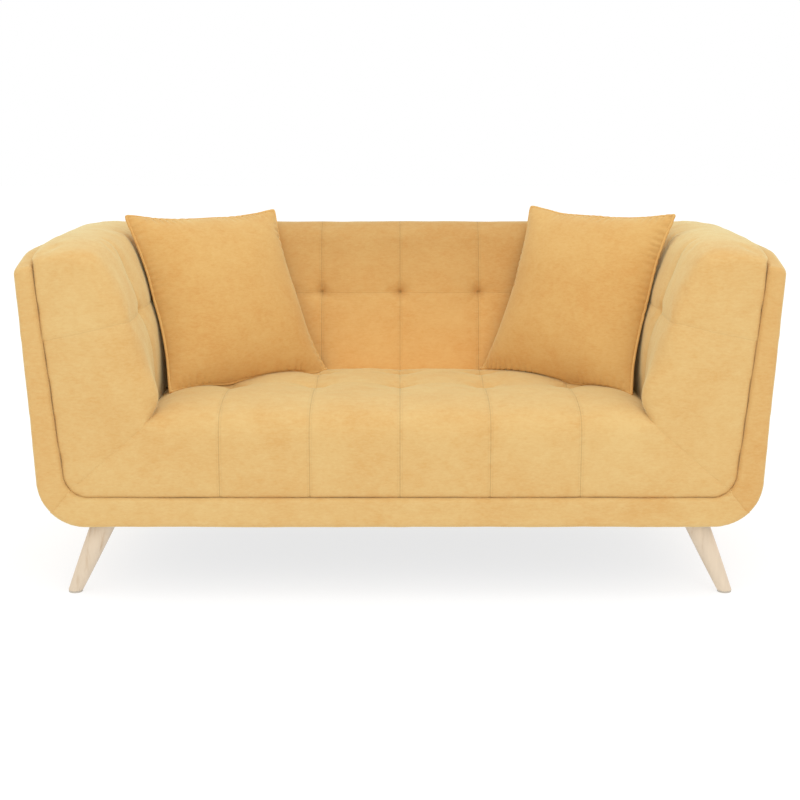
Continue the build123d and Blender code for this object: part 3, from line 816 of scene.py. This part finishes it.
def arm_puff(co):
    """The arm's front bulges over the seat's end, and its crown rises behind the front."""
    above_seat = co[:, 2] - sizes().mitre_height
    nose = bell(co[:, 1] - FRONT - 0.045, 0.075) * bell(above_seat - 0.062, 0.062)
    nose *= np.clip((ARM_LOW.x + 0.060 - co[:, 0]) / 0.060, 0, 1)
    over = np.clip((co[:, 2] - SHELL_TOP + 0.050) / 0.050, 0, 1)
    beyond = bell(co[:, 0] - wall_x(SHELL_TOP), 0.030)
    beyond *= np.clip((co[:, 2] - SHELL_TOP) / 0.012, 0, 1)
    co = co.copy()
    co[:, 0] += 0.014 * beyond - 0.030 * nose
    co[:, 2] += crown_rise(co[:, 1]) * over * 0.6
    return co


def crown_rise(depth):
    """How far the tops of the arms rise behind their fronts."""
    climb = np.clip((depth - FRONT) / 0.15, 0, 1)
    fall = np.clip((depth + 0.20) / 0.60, 0, 1)
    return 0.020 * climb * climb * (3 - 2 * climb) * (1 - 0.75 * fall)


def arm_level(reach):
    """Height of the arm's level seam at a distance from the middle: it falls towards the shell."""
    past = np.maximum(0.0, reach - ARM_LOW.x - ARM_SEAM_START)
    return sizes().arm_tuft_height - ARM_SEAM_FALL * past


def arm_distances(co, no):
    """How far each point lies from the arm's seams, and from its tufts."""
    s = sizes()
    inner = no[:, 0] < -0.35
    front = no[:, 1] < -0.5
    level = np.where(inner | front, np.abs(co[:, 2] - arm_level(np.abs(co[:, 0]))), 1.0)
    rows = (s.arm_tuft, s.arm_tuft_rear)
    upright = np.min([np.abs(co[:, 1] - y) for y in rows], axis=0)
    upright = np.where(inner & (co[:, 2] > s.mitre_height + 0.02), upright, 1.0)
    spots = [np.hypot(co[:, 1] - y, co[:, 2] - s.arm_tuft_height) for y in rows]
    spot = np.where(inner, np.min(spots, axis=0), 1.0)
    return level, upright, spot


def build_arms():
    s = sizes()
    obj = object_from(arm_solid(), "arm_upholstery_right")
    remesh(obj, 0.0080)
    co, no = points(obj), normals(obj)
    co = arm_puff(co)
    level, upright, spot = arm_distances(co, no)
    side_on = np.where(no[:, 1] < -0.5, 0.15, 1.0)
    sunk = 0.0040 * bell(level, 0.012) * side_on + 0.0035 * bell(upright, 0.012)
    co = co - no * sunk[:, None]
    tufts = [(ARM_LOW.x + 0.015, y, s.arm_tuft_height) for y in (s.arm_tuft, s.arm_tuft_rear)]
    inner = (no[:, 0] < -0.35)[:, None]
    co = np.where(inner, pull_tufts(co, no, tufts, (1, 0, 0), 0.014), co)
    set_points(obj, co)
    hidden = (no[:, 0] > 0.5) & (co[:, 2] < SHELL_TOP)
    hidden |= (no[:, 1] > 0.5) | (no[:, 2] < -0.5)
    held = hidden | (spot < HELD_AT_TUFT) | (level < 0.005) & (no[:, 0] < -0.6) | (upright < 0.005)
    held |= mitre_distance(co) < HELD_AT_TUFT
    held |= (no[:, 1] < -0.5) & (co[:, 0] > wall_x(BORDER_HIGH.z) + 0.06 * (co[:, 2] - 0.2) - 0.012)
    swell(obj, held, PAD_PRESSURE, PAD_FRAMES, 0.011)
    smooth(obj, 0.5, 1)
    subdivide(obj)
    co, no = points(obj), normals(obj)
    level, upright, spot = arm_distances(co, no)
    front = no[:, 1] < -0.5
    lift = -0.0009 * bell(level, 0.003) - 0.0008 * bell(upright, 0.003) - 0.005 * bell(spot, 0.006)
    lift -= 0.0004 * bell(mitre_distance(co), 0.004) * front
    lift += 0.0015 * rumple(co, 0.10, 3) + 0.0007 * rumple(co, 0.035, 4)
    tucks = np.maximum(0, rumple(co * np.array([0.6, 0.35, 1.0]), 0.016, 5))
    corner = bell(np.hypot(co[:, 1] - BACK_HIGH.y + 0.10, co[:, 0] - ARM_LOW.x - 0.06), 0.09)
    lift -= 0.0050 * tucks * corner
    set_points(obj, co + no * lift[:, None])
    cloth = suede("arm_suede", cloth_colour(), arm_seams)
    dress(obj, cloth)
    left = mirror_copy(obj, "arm_upholstery_left")
    finish_cloth(obj, BODY, "sofa_fabric", PAD_FILL, "arm_inside_cover_right", "arm_foam_right",
                 "arm_tuft_ties")
    co, no = points(left), normals(left)
    set_points(left, co + no * (0.0010 * rumple(co, 0.08, 9))[:, None])
    dress(left, cloth)
    finish_cloth(left, BODY, "sofa_fabric", PAD_FILL, "arm_inside_cover_left", "arm_foam_left")


def back_solid():
    low = SEAT_HIGH.z - 0.060
    crown = BACK_HIGH.z - 0.005
    rear = REAR_LOW.y
    corners = [
        (back_y(low), low, 0), (rear - 0.003, low, 0), (rear - 0.003, SHELL_TOP - 0.004, 0.008),
        (rear + 0.010, crown, 0.016), (back_y(crown) + 0.004, crown, 0.034),
    ]
    return outline_solid(corners, side_view, -BACK_HIGH.x + 0.006, BACK_HIGH.x - 0.006)


def back_distances(co, no):
    """How far each point lies from the back's seams, and from its tufts."""
    s = sizes()
    face = no[:, 1] < -0.2
    column = np.abs(co[:, 0] - np.round(co[:, 0] / s.tuft_pitch) * s.tuft_pitch)
    column = np.where(face & (np.abs(co[:, 0]) < s.tuft_pitch * BACK_SEAMS_WIDE), column, 1.0)
    level = np.where(face, np.abs(co[:, 2] - s.tuft_height), 1.0)
    spots = [np.hypot(co[:, 0] - x, co[:, 2] - s.tuft_height) for x in tuft_columns(BACK_TUFTS)]
    return column, level, np.where(face, np.min(spots, axis=0), 1.0)


def build_back():
    s = sizes()
    bm = back_solid()
    soften(bm, lambda e: lies_at(e, 0, BACK_HIGH.x - 0.006) or lies_at(e, 0, 0.006 - BACK_HIGH.x),
           0.018, 4)
    obj = object_from(bm, "back_upholstery")
    remesh(obj, 0.009)
    co, no = points(obj), normals(obj)
    column, level, spot = back_distances(co, no)
    sunk = 0.0026 * bell(column, 0.012) + 0.0020 * bell(level, 0.014)
    co = co - no * sunk[:, None]
    tufts = [(x, back_y(s.tuft_height), s.tuft_height) for x in tuft_columns(BACK_TUFTS)]
    front = (no[:, 1] < -0.2)[:, None]
    co = np.where(front, pull_tufts(co, no, tufts, (0, 1, 0), 0.020), co)
    set_points(obj, co)
    held = (no[:, 1] > 0.5) & (co[:, 2] < SHELL_TOP) | (no[:, 2] < -0.5)
    held |= (spot < HELD_AT_TUFT) | (column < 0.0055)
    swell(obj, held, PAD_PRESSURE, PAD_FRAMES, 0.011)
    smooth(obj, 0.5, 1)
    subdivide(obj)
    co, no = points(obj), normals(obj)
    column, level, spot = back_distances(co, no)
    lift = -0.0012 * bell(column, 0.0035) - 0.0005 * bell(level, 0.0035)
    lift -= 0.0065 * bell(spot, 0.006)
    above = np.clip((co[:, 2] - s.tuft_height) / 0.030, 0, 1)
    lift -= 0.0030 * bell(column - 0.005, 0.004) * above * (1 - above) * 4 * (column < 0.9)
    lift += 0.0015 * rumple(co, 0.10, 6) + 0.0006 * rumple(co, 0.035, 7)
    set_points(obj, co + no * lift[:, None])
    # Painted shade: the back is a darker, warmer copy of the cloth, darker still towards its top
    # and lighter towards its bottom.
    dress(obj, suede("back_suede", nap_and_painted_shade_tone(cloth_colour(), -0.15), back_seams,
                     (SEAT_HIGH.z, BACK_HIGH.z, 1.17, 0.86)))
    finish_cloth(obj, BODY, "sofa_fabric", PAD_FILL, "back_inside_cover", "back_foam",
                 "back_tuft_ties")


# ---------------------------------------------------------------- shell
def outer_corner():
    radius = sizes().shell_corner
    height = BASE + radius
    return (side_x(height) - radius, height), radius


def band_mitre(shift=0.0):
    """The corner seam's ends on the band: at the pads, and at the outer corner."""
    ends = []
    for (x, z), radius in (inner_corner(), outer_corner()):
        reach = radius * math.cos(math.radians(45))
        ends.append((x + reach + shift * DIAGONAL, z - reach + shift * DIAGONAL))
    return ends


def shell_side_solid():
    """The side wall to its full corner, and its front edge down to the corner seam."""
    inner, radius = inner_corner()
    outer, wide = outer_corner()
    head = [(side_x(SHELL_TOP) - 0.0005, SHELL_TOP - 0.012),
            (side_x(SHELL_TOP) - 0.004, SHELL_TOP - 0.004),
            (side_x(SHELL_TOP) - 0.012, SHELL_TOP),
            (wall_x(SHELL_TOP) + 0.006, SHELL_TOP), (wall_x(SHELL_TOP), SHELL_TOP - 0.006)]
    end, start = band_mitre(-BAND_LAP)
    upper = [start] + arc(outer, wide, -44, 0) + head + arc(inner, radius, 0, -44) + [end]
    full = [(end[0] - 0.020, BASE)] + arc(outer, wide, -90, 0) + head
    full += arc(inner, radius, 0, -44) + [end]
    shares = [0.1] + [1.0] * (len(upper) - 11) + [0.3] * 9 + [0.1]
    edge = rounded_run(upper, shares, FRONT, FRONT + 0.030, 0.010, 0.0)
    wall = rounded_run(full, [1.0] * len(full), FRONT + 0.013, REAR_LOW.y + 0.004, 0.003, 0.0)
    return joined(edge, wall)


def front_crown(co, no):
    """The padded front edge of the shell stands slightly proud."""
    push = 0.0030 * np.clip(-no[:, 1], 0, 1) ** 4
    return co - np.outer(push, (0, 1, 0))


def band_groove(co, no):
    """A shallow groove along the corner seam."""
    (x, z), (u, v) = band_mitre()
    along = np.array((u - x, v - z)) / math.hypot(u - x, v - z)
    spot = np.stack([np.abs(co[:, 0]) - x, co[:, 2] - z], 1)
    away = np.abs(spot @ np.array((-along[1], along[0])))
    return 0.0007 * bell(away, 0.004) * (no[:, 1] < -0.4)


def build_shell():
    obj = object_from(shell_side_solid(), "shell_side_right")
    remesh(obj, 0.0048)
    smooth(obj, 0.5, 1)
    co, no = points(obj), normals(obj)
    co = front_crown(co, no)
    above = np.clip((co[:, 2] - SHELL_TOP + 0.160) / 0.150, 0, 1)
    co[:, 2] += crown_rise(co[:, 1]) * above * above
    front_corner = bell(np.hypot(co[:, 1] - FRONT, co[:, 0] - side_x(SHELL_TOP)), 0.022)
    co[:, 2] -= 0.008 * front_corner * np.clip((co[:, 2] - SHELL_TOP + 0.040) / 0.040, 0, 1)
    lift = 0.0011 * rumple(co, 0.12, 11) + 0.0005 * rumple(co, 0.03, 12) - band_groove(co, no)
    set_points(obj, co + no * lift[:, None])
    # Painted shade: the side covers are darker, warmer copies of the cloth than the border and
    # rear, the right one darker than the left.
    dress(obj, suede("shell_suede_right", nap_and_painted_shade_tone(cloth_colour(), -0.10)))
    left = mirror_copy(obj, "shell_side_left")
    dress(left, suede("shell_suede_left", nap_and_painted_shade_tone(cloth_colour(), -0.05)))
    for side, piece in (("right", obj), ("left", left)):
        finish_cloth(piece, BODY, "sofa_fabric", SHELL_FILL, f"side_outer_cover_{side}",
                     f"side_wadding_{side}")
    cloth = suede("shell_suede", cloth_colour())
    build_border(cloth)
    build_rear(cloth)


def build_border(cloth):
    inner, radius = inner_corner()
    outer, wide = outer_corner()
    start, end = band_mitre(BAND_LAP)
    base = [(0.0, BASE)] + arc(outer, wide, -90, -46) + [end]
    top = [start] + arc(inner, radius, -46, -90) + [(0.0, BORDER_HIGH.z - 0.0005)]
    right = base + top
    outline = right + mirrored(right)[1:-1]
    shares = [1.0] * (len(base) - 1) + [0.1] * 2 + [0.3] * (len(top) - 1)
    shares = shares + shares[::-1][1:-1]
    obj = object_from(rounded_run(outline, shares, FRONT, BORDER_HIGH.y + 0.020, 0.010, 0.002),
                      "front_border")
    remesh(obj, 0.0048)
    smooth(obj, 0.5, 1)
    co, no = points(obj), normals(obj)
    co = front_crown(co, no)
    lift = 0.0011 * rumple(co, 0.12, 11) + 0.0005 * rumple(co, 0.03, 12) - band_groove(co, no)
    set_points(obj, co + no * lift[:, None])
    dress(obj, cloth)
    finish_cloth(obj, BODY, "sofa_fabric", SHELL_FILL, "front_border_cover", "front_border_wadding")


def build_rear(cloth):
    s = sizes()
    corners = [
        (-side_x(BASE), BASE, s.shell_corner), (side_x(BASE), BASE, s.shell_corner),
        (side_x(SHELL_TOP), SHELL_TOP, 0.010), (-side_x(SHELL_TOP), SHELL_TOP, 0.010),
    ]
    bm = outline_solid(corners, front_view, REAR_LOW.y - 0.004, REAR_HIGH.y)
    soften(bm, lambda e: lies_at(e, 1, REAR_HIGH.y), 0.030, 8)
    obj = object_from(bm, "shell_rear")
    remesh(obj, 0.009)
    smooth(obj, 0.5, 2)
    co, no = points(obj), normals(obj)
    lift = 0.0014 * rumple(co, 0.16, 15) + 0.0005 * rumple(co, 0.04, 16)
    set_points(obj, co + no * lift[:, None])
    dress(obj, cloth)
    finish_cloth(obj, BODY, "sofa_fabric", SHELL_FILL, "rear_outer_cover", "rear_wadding")


# ---------------------------------------------------------------- cushions
def pillow(name, side, cells):
    """Two square panels sewn round their hollowed edges; their rim keeps the seam flat."""
    bm = bmesh.new()
    bmesh.ops.create_grid(bm, x_segments=cells, y_segments=cells, size=side / 2)
    for vert in bm.verts:
        x, y = (abs(c) / (side / 2) for c in vert.co[:2])
        rising = vert.co.y / (side / 2)
        inside = max(x, y) < 0.999
        vert.co.z = CUSHION_CROWN * ((1 - x ** 3) * (1 - y ** 3)) ** 0.7 if inside else 0.0
        pinch = 1 - 0.060 * (x * y) ** 9
        hollow = 0.115 if rising > 0 else 0.070
        vert.co.x *= (pinch - 0.135 * (1 - y ** 3)) * (1 - CUSHION_NARROWS * rising)
        vert.co.y *= pinch - hollow * (1 - x ** 3)
    made = bmesh.ops.duplicate(bm, geom=bm.faces[:] + bm.edges[:] + bm.verts[:])
    back = [g for g in made["geom"] if isinstance(g, bmesh.types.BMVert)]
    faces = [g for g in made["geom"] if isinstance(g, bmesh.types.BMFace)]
    bmesh.ops.scale(bm, verts=back, vec=(1, 1, -1))
    bmesh.ops.reverse_faces(bm, faces=faces)
    bmesh.ops.remove_doubles(bm, verts=bm.verts, dist=1e-6)
    bmesh.ops.recalc_face_normals(bm, faces=bm.faces)
    if bm.calc_volume(signed=True) < 0:
        bmesh.ops.reverse_faces(bm, faces=bm.faces)
    upright = Matrix.Rotation(math.radians(90), 3, "X")
    bmesh.ops.rotate(bm, verts=bm.verts, cent=(0, 0, 0), matrix=upright)
    return object_from(bm, name)


def rim_order(co):
    """Indices of the rim's points, in order round the cushion."""
    rim = np.nonzero(np.abs(co[:, 1]) < 1e-6)[0]
    return rim[np.argsort(np.arctan2(co[rim, 2], co[rim, 0]))]


def press(obj, trees, gap):
    """Moves points that lie inside a neighbour out to a small gap from its surface."""
    co = points(obj)
    for tree in trees:
        for i, point in enumerate(co):
            spot, normal, _, _ = tree.find_nearest(Vector(point), PRESS_REACH)
            if spot is None:
                continue
            depth = (Vector(point) - spot).dot(normal)
            if depth < gap:
                co[i] = spot + normal * gap
    set_points(obj, co)


def tube(name, path, radius, closed=True):
    curve = bpy.data.curves.new(name, "CURVE")
    curve.dimensions = "3D"
    curve.bevel_depth = radius
    curve.bevel_resolution = 2
    curve.resolution_u = 2
    spline = curve.splines.new("NURBS")
    spline.points.add(len(path) - 1)
    for target, point in zip(spline.points, path):
        target.co = (*point, 1.0)
    spline.use_cyclic_u = closed
    spline.use_endpoint_u = not closed
    spline.order_u = 3
    curve.use_fill_caps = not closed
    obj = new_object(name, curve)
    mesh = bpy.data.meshes.new_from_object(obj)
    bpy.data.objects.remove(obj)
    return new_object(name, mesh)


def cushion_matrix(side, turned, lean, tilt, shift):
    middle = (CUSHION_LOW + CUSHION_HIGH) / 2
    middle.x *= side
    turned_by = Matrix.Rotation(-side * turned, 4, "Z")
    leant = Matrix.Rotation(-lean, 4, "X")
    tilted = Matrix.Rotation(tilt, 4, "Y")
    return Matrix.Translation(middle + Vector(shift)) @ turned_by @ leant @ tilted


def build_cushion(side, word, turns, shift, seed, trees):
    """One piped cushion: blown up, leant in its corner, pressed off its neighbours, pleated."""
    c = bpy.context.scene.cushion_sizes
    obj = pillow(f"scatter_cushion_{word}", c.side, CUSHION_CELLS)
    start = points(obj).copy()
    rim = rim_order(start)
    lumps = 0.0035 * rumple(start, 0.13, seed)
    normal = normals(obj)
    set_points(obj, start + normal * lumps[:, None])
    swell(obj, np.abs(start[:, 1]) < 1e-6, CUSHION_PRESSURE, CUSHION_FRAMES, CUSHION_CAP,
          CUSHION_STIFF)
    turned, leant, tilt = (math.radians(turn) for turn in turns)
    place = cushion_matrix(side, c.turned + turned, c.lean + leant, tilt, shift)
    obj.data.transform(place)
    press(obj, trees, PRESS_GAP)
    smooth(obj, 0.5, 1)
    subdivide(obj)
    co, no = points(obj), normals(obj)
    edge, run = from_rim(co, co[rim])
    along = np.stack([run, edge * 0, edge * 0], 1)
    wave = 0.5 + 0.5 * np.cos(run / 0.0029 + 5 * rumple(along, 0.06, seed + 1))
    strength = np.clip(0.40 + 1.3 * rumple(along, 0.08, seed + 3), 0.0, 1.0)
    lift = -0.0040 * wave ** 2 * strength * bell(edge - 0.013, 0.018)
    lift += 0.0010 * rumple(co, 0.05, seed + 2)
    set_points(obj, co + no * lift[:, None])
    press(obj, trees, PRESS_GAP_LAST)
    path = points(obj)[rim]
    dress(obj, suede(f"cushion_suede_{word}", cushion_colour()))
    body = f"{word}_cushion"
    finish_cloth(obj, body, "cushion_fabric", CUSHION_FILL, f"cushion_cover_{word}",
                 f"cushion_filling_{word}")
    cord = tube(f"cushion_piping_cord_{word}", path, c.pipe)
    # Painted highlight: the piping is the cushion cloth made a little lighter, standing in for the
    # light its round cord catches.
    dress(cord, suede(f"piping_suede_{word}", tone(cushion_colour(), 1.06)))
    finish_piece(cord, body, "piping_fabric", f"cushion_piping_{word}")
    build_zip(word, body, path, place)


def build_zip(word, body, path, place):
    """A closed zip under the lower seam, just behind the piping."""
    inverse = place.inverted()
    local = np.array([inverse @ Vector(p) for p in path])
    lower = [i for i in range(len(path)) if local[i, 2] < 0 and abs(local[i, 0]) < 0.17
             and local[i, 2] < -0.15]
    lower.sort(key=lambda i: local[i, 0])
    line = [place @ Vector((local[i, 0], local[i, 1] + 0.0062, local[i, 2] + 0.0035))
            for i in lower[::3]]
    obj = tube(f"cushion_zip_coil_{word}", line, 0.0018, closed=False)
    bm = bmesh.new()
    bm.from_mesh(obj.data)
    made = bmesh.ops.create_cube(bm, size=1.0)
    bmesh.ops.scale(bm, verts=made["verts"], vec=(0.010, 0.0045, 0.0055))
    edges = {e for v in made["verts"] for e in v.link_edges}
    bmesh.ops.bevel(bm, geom=list(edges), affect="EDGES", offset=0.0012, segments=2,
                    profile=0.5, material=-1)
    slider = [v for v in bm.verts if v.co.length < 0.02 and max(map(abs, v.co)) < 0.0052]
    bmesh.ops.rotate(bm, verts=slider, cent=(0, 0, 0), matrix=place.to_3x3())
    bmesh.ops.translate(bm, verts=slider, vec=line[-1])
    bm.to_mesh(obj.data)
    bm.free()
    dress(obj, plastic(f"zip_plastic_{word}", (0.50, 0.30, 0.10)))
    finish_piece(obj, body, "zip", f"cushion_zip_{word}")


def from_rim(co, rim):
    """Each point's distance from the rim, and where along the rim it is nearest."""
    steps = np.roll(rim, -1, axis=0) - rim
    long = np.linalg.norm(steps, axis=1)
    start = np.cumsum(long) - long
    tree = KDTree(len(rim) * 4)
    for i, share in np.ndindex(len(rim), 4):
        tree.insert(Vector(rim[i] + steps[i] * share / 4), i * 4 + share)
    tree.balance()
    found = [tree.find(Vector(point)) for point in co]
    edge = np.array([hit[2] for hit in found])
    run = np.array([start[hit[1] // 4] + long[hit[1] // 4] * (hit[1] % 4) / 4 for hit in found])
    return edge, run


def finish_piece(obj, body, slot, *nodes):
    obj.data.shade_smooth()
    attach(obj, body)
    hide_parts(*nodes)


def surface_tree(*names):
    """Each named piece's surface, for finding the nearest place on it."""
    trees = []
    for name in names:
        bm = bmesh.new()
        bm.from_mesh(bpy.data.objects[name].data)
        trees.append(BVHTree.FromBMesh(bm))
        bm.free()
    return trees


def build_cushions():
    seat_back = ("seat_upholstery", "back_upholstery")
    build_cushion(1, "right", (5.0, -4.0, -1.0), (0.016, -0.006, 0.003), 21,
                  surface_tree(*seat_back, "arm_upholstery_right"))
    build_cushion(-1, "left", (2.0, 0.0, 1.5), (-0.008, 0.004, 0.002), 31,
                  surface_tree(*seat_back, "arm_upholstery_left"))


# ---------------------------------------------------------------- legs
def build_legs():
    wood = timber("whitewashed_wood", leg_colour(), grain_colour(), 60.0, (1.0, 1.0, 0.10))
    for end in ("front", "rear"):
        for side in ("left", "right"):
            node = f"leg_{end}_{side}"
            obj = leg_piece(node)
            dress(obj, wood)
            finish_piece(obj, BODY, "leg_wood", node)


def leg_piece(node):
    """A turned, tapered leg, leaning from its foot to its plate."""
    low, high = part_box(node)
    sx = 1 if low.x > 0 else -1
    sy = 1 if low.y > 0 else -1
    top_r, foot_r = 0.030, 0.017
    outer_x = high.x if sx > 0 else low.x
    inner_x = low.x if sx > 0 else high.x
    outer_y = high.y if sy > 0 else low.y
    inner_y = low.y if sy > 0 else high.y
    foot = Vector((outer_x - sx * foot_r, outer_y - sy * foot_r, low.z))
    top = Vector((inner_x + sx * top_r, inner_y + sy * top_r, high.z))
    height = top.z - foot.z
    bm = bmesh.new()
    bmesh.ops.create_cone(bm, cap_ends=True, segments=48, radius1=foot_r, radius2=top_r,
                          depth=height)
    sides = [e for e in bm.edges if abs(e.verts[0].co.z - e.verts[1].co.z) > height / 2]
    bmesh.ops.subdivide_edges(bm, edges=sides, cuts=8)
    rims = [e for e in bm.edges if abs(abs(e.verts[0].co.z) - height / 2) < 1e-5
            and abs(e.verts[0].co.z - e.verts[1].co.z) < 1e-5]
    bmesh.ops.bevel(bm, geom=rims, affect="EDGES", offset=0.0016, segments=3, profile=0.5,
                    material=-1)
    for vert in bm.verts:
        share = vert.co.z / height + 0.5
        swollen = 1 + 0.030 * math.sin(share * math.pi)
        vert.co.x *= swollen
        vert.co.y *= swollen
        middle = foot.lerp(top, share)
        vert.co = Vector((vert.co.x + middle.x, vert.co.y + middle.y, middle.z))
    return object_from(bm, f"turned_{node}")


# ---------------------------------------------------------------- inside pieces and fixings
def dress_inside():
    looks = {
        "frame_wood": timber("frame_timber", (0.62, 0.42, 0.22), (0.36, 0.20, 0.09), 40.0,
                             (0.2, 1, 1)),
        "board": foamy("panel_fibreboard", (0.42, 0.28, 0.15), (0.28, 0.17, 0.08), 300.0),
        "foam": foamy("upholstery_foam", (0.90, 0.82, 0.58), (0.74, 0.64, 0.40), 260.0),
        "wadding": foamy("white_wadding", (0.92, 0.92, 0.90), (0.78, 0.78, 0.76), 90.0),
        "spring_steel": steel("spring_steel", (0.35, 0.36, 0.38), 0.35),
        "zinc_steel": steel("zinc_steel", (0.62, 0.63, 0.64), 0.30),
        "webbing": weave("elastic_webbing", (0.10, 0.09, 0.08), (0.03, 0.03, 0.03), 0.003),
        "twine": weave("tufting_twine", (0.60, 0.50, 0.32), (0.40, 0.32, 0.18), 0.001),
        "dust_cloth": weave("underside_cloth", (0.060, 0.060, 0.062), (0.018, 0.018, 0.02), 0.0012),
        "glide_plastic": plastic("glide_plastic", (0.50, 0.45, 0.38)),
    }
    slots = {part["node"]: part["material_slot"] for part in frame["record"]["subparts"]}
    for node, obj in frame["nodes"].items():
        material = looks.get(slots[node])
        if material is not None:
            for place in range(max(1, len(obj.data.materials))):
                if len(obj.data.materials) == 0:
                    obj.data.materials.append(material)
                obj.data.materials[place] = material


# ---------------------------------------------------------------- stage
def build_stage():
    bm = bmesh.new()
    bmesh.ops.create_grid(bm, x_segments=1, y_segments=1, size=FLOOR_HALF)
    floor = object_from(bm, "stage_floor")
    n = Nodes("stage_paper")
    shade = n.ramp(n.noise(1.5, 2.0), (0.3, (0.29, 0.29, 0.29)), (0.7, (0.31, 0.31, 0.31)))
    n.put(shade, n.shader.inputs["Base Color"])
    n.shader.inputs["Roughness"].default_value = 1.0
    n.shader.inputs["Emission Color"].default_value = (1.0, 1.0, 1.0, 1.0)
    n.shader.inputs["Emission Strength"].default_value = 0.74
    dress(floor, n.material)
    world = bpy.data.worlds.new("studio")
    world.use_nodes = True
    background = world.node_tree.nodes["Background"]
    background.inputs["Color"].default_value = (1.0, 1.0, 1.0, 1.0)
    background.inputs["Strength"].default_value = 1.0
    scene = bpy.context.scene
    scene.world = world
    scene.view_settings.view_transform = "Standard"
    softbox("key_light", (1.6, -3.4, 2.6), (0.0, 0.0, 0.45), 2.6, 22.0)
    softbox("fill_light", (-2.4, -3.2, 1.8), (0.0, 0.0, 0.40), 2.6, 10.0)
    softbox("top_light", (0.0, -0.3, 3.4), (0.0, -0.1, 0.40), 2.4, 18.0)
    camera = bpy.data.cameras.new("camera")
    camera.sensor_width = 36.0
    camera.lens = CAMERA_LENS
    obj = new_object("camera", camera)
    obj.location = (0.0, FRONT - CAMERA_BACK, CAMERA_UP)
    obj.rotation_euler = (math.radians(90.0 - CAMERA_DOWN), 0.0, 0.0)
    scene.camera = obj


def softbox(name, place, target, size, power):
    light = bpy.data.lights.new(name, "AREA")
    light.shape = "SQUARE"
    light.size = size
    light.energy = power
    obj = new_object(name, light)
    obj.location = place
    obj.rotation_euler = (Vector(target) - Vector(place)).to_track_quat("-Z", "Y").to_euler()


def cloth_colour():
    return tuple(bpy.context.scene.sofa_colours.cloth)


def cushion_colour():
    return tuple(bpy.context.scene.sofa_colours.cushion)


def leg_colour():
    return tuple(bpy.context.scene.sofa_colours.wood)


def grain_colour():
    return tuple(bpy.context.scene.sofa_colours.wood_grain)


# ---------------------------------------------------------------- operators and panel
class SOFA_OT_stage(bpy.types.Operator):
    """Lay the floor and set the lights and the camera"""
    bl_idname = "sofa.stage"
    bl_label = "Stage"

    def execute(self, context):
        build_stage()
        return {"FINISHED"}


class SOFA_OT_shell(bpy.types.Operator):
    """Cover the outer shell: both sides, the rear and the front border"""
    bl_idname = "sofa.shell"
    bl_label = "Outer shell"

    def execute(self, context):
        build_shell()
        return {"FINISHED"}


class SOFA_OT_seat(bpy.types.Operator):
    """Upholster the tufted seat"""
    bl_idname = "sofa.seat"
    bl_label = "Seat"

    def execute(self, context):
        build_seat()
        return {"FINISHED"}


class SOFA_OT_back(bpy.types.Operator):
    """Upholster the tufted back"""
    bl_idname = "sofa.back"
    bl_label = "Back"

    def execute(self, context):
        build_back()
        return {"FINISHED"}


class SOFA_OT_arms(bpy.types.Operator):
    """Upholster both tufted arms"""
    bl_idname = "sofa.arms"
    bl_label = "Arms"

    def execute(self, context):
        build_arms()
        return {"FINISHED"}


class SOFA_OT_cushions(bpy.types.Operator):
    """Fill, pipe and place the two scatter cushions"""
    bl_idname = "sofa.cushions"
    bl_label = "Scatter cushions"

    def execute(self, context):
        build_cushions()
        return {"FINISHED"}


class SOFA_OT_legs(bpy.types.Operator):
    """Turn and taper the four legs"""
    bl_idname = "sofa.legs"
    bl_label = "Legs"

    def execute(self, context):
        build_legs()
        return {"FINISHED"}


class SOFA_OT_inside(bpy.types.Operator):
    """Finish the frame, springs, webbing and fixings"""
    bl_idname = "sofa.inside"
    bl_label = "Frame and fixings"

    def execute(self, context):
        dress_inside()
        return {"FINISHED"}


OPERATORS = (SOFA_OT_stage, SOFA_OT_inside, SOFA_OT_shell, SOFA_OT_seat, SOFA_OT_back,
             SOFA_OT_arms, SOFA_OT_cushions, SOFA_OT_legs)


class SOFA_PT_panel(bpy.types.Panel):
    """Lists the sofa's pieces and settings"""
    bl_idname = "SOFA_PT_panel"
    bl_label = "Tufted sofa"
    bl_space_type = "VIEW_3D"
    bl_region_type = "UI"
    bl_category = "Sofa"

    def draw(self, context):
        for operator in OPERATORS:
            self.layout.operator(operator.bl_idname)
        for group in ("sofa_sizes", "cushion_sizes", "sofa_colours"):
            settings = getattr(context.scene, group)
            for name in settings.__annotations__:
                self.layout.prop(settings, name)


GROUPS = {"sofa_sizes": SofaSizes, "cushion_sizes": CushionSizes, "sofa_colours": SofaColours}


def register():
    for group in GROUPS.values():
        bpy.utils.register_class(group)
    for name, group in GROUPS.items():
        setattr(bpy.types.Scene, name, PointerProperty(type=group))
    for operator in OPERATORS:
        bpy.utils.register_class(operator)
    bpy.utils.register_class(SOFA_PT_panel)


def unregister():
    bpy.utils.unregister_class(SOFA_PT_panel)
    for operator in reversed(OPERATORS):
        bpy.utils.unregister_class(operator)
    for name in GROUPS:
        delattr(bpy.types.Scene, name)
    for group in reversed(GROUPS.values()):
        bpy.utils.unregister_class(group)


def main():
    register()
    for operator in OPERATORS:
        space, name = operator.bl_idname.split(".")
        getattr(getattr(bpy.ops, space), name)()


if __name__ == "__main__":
    main()
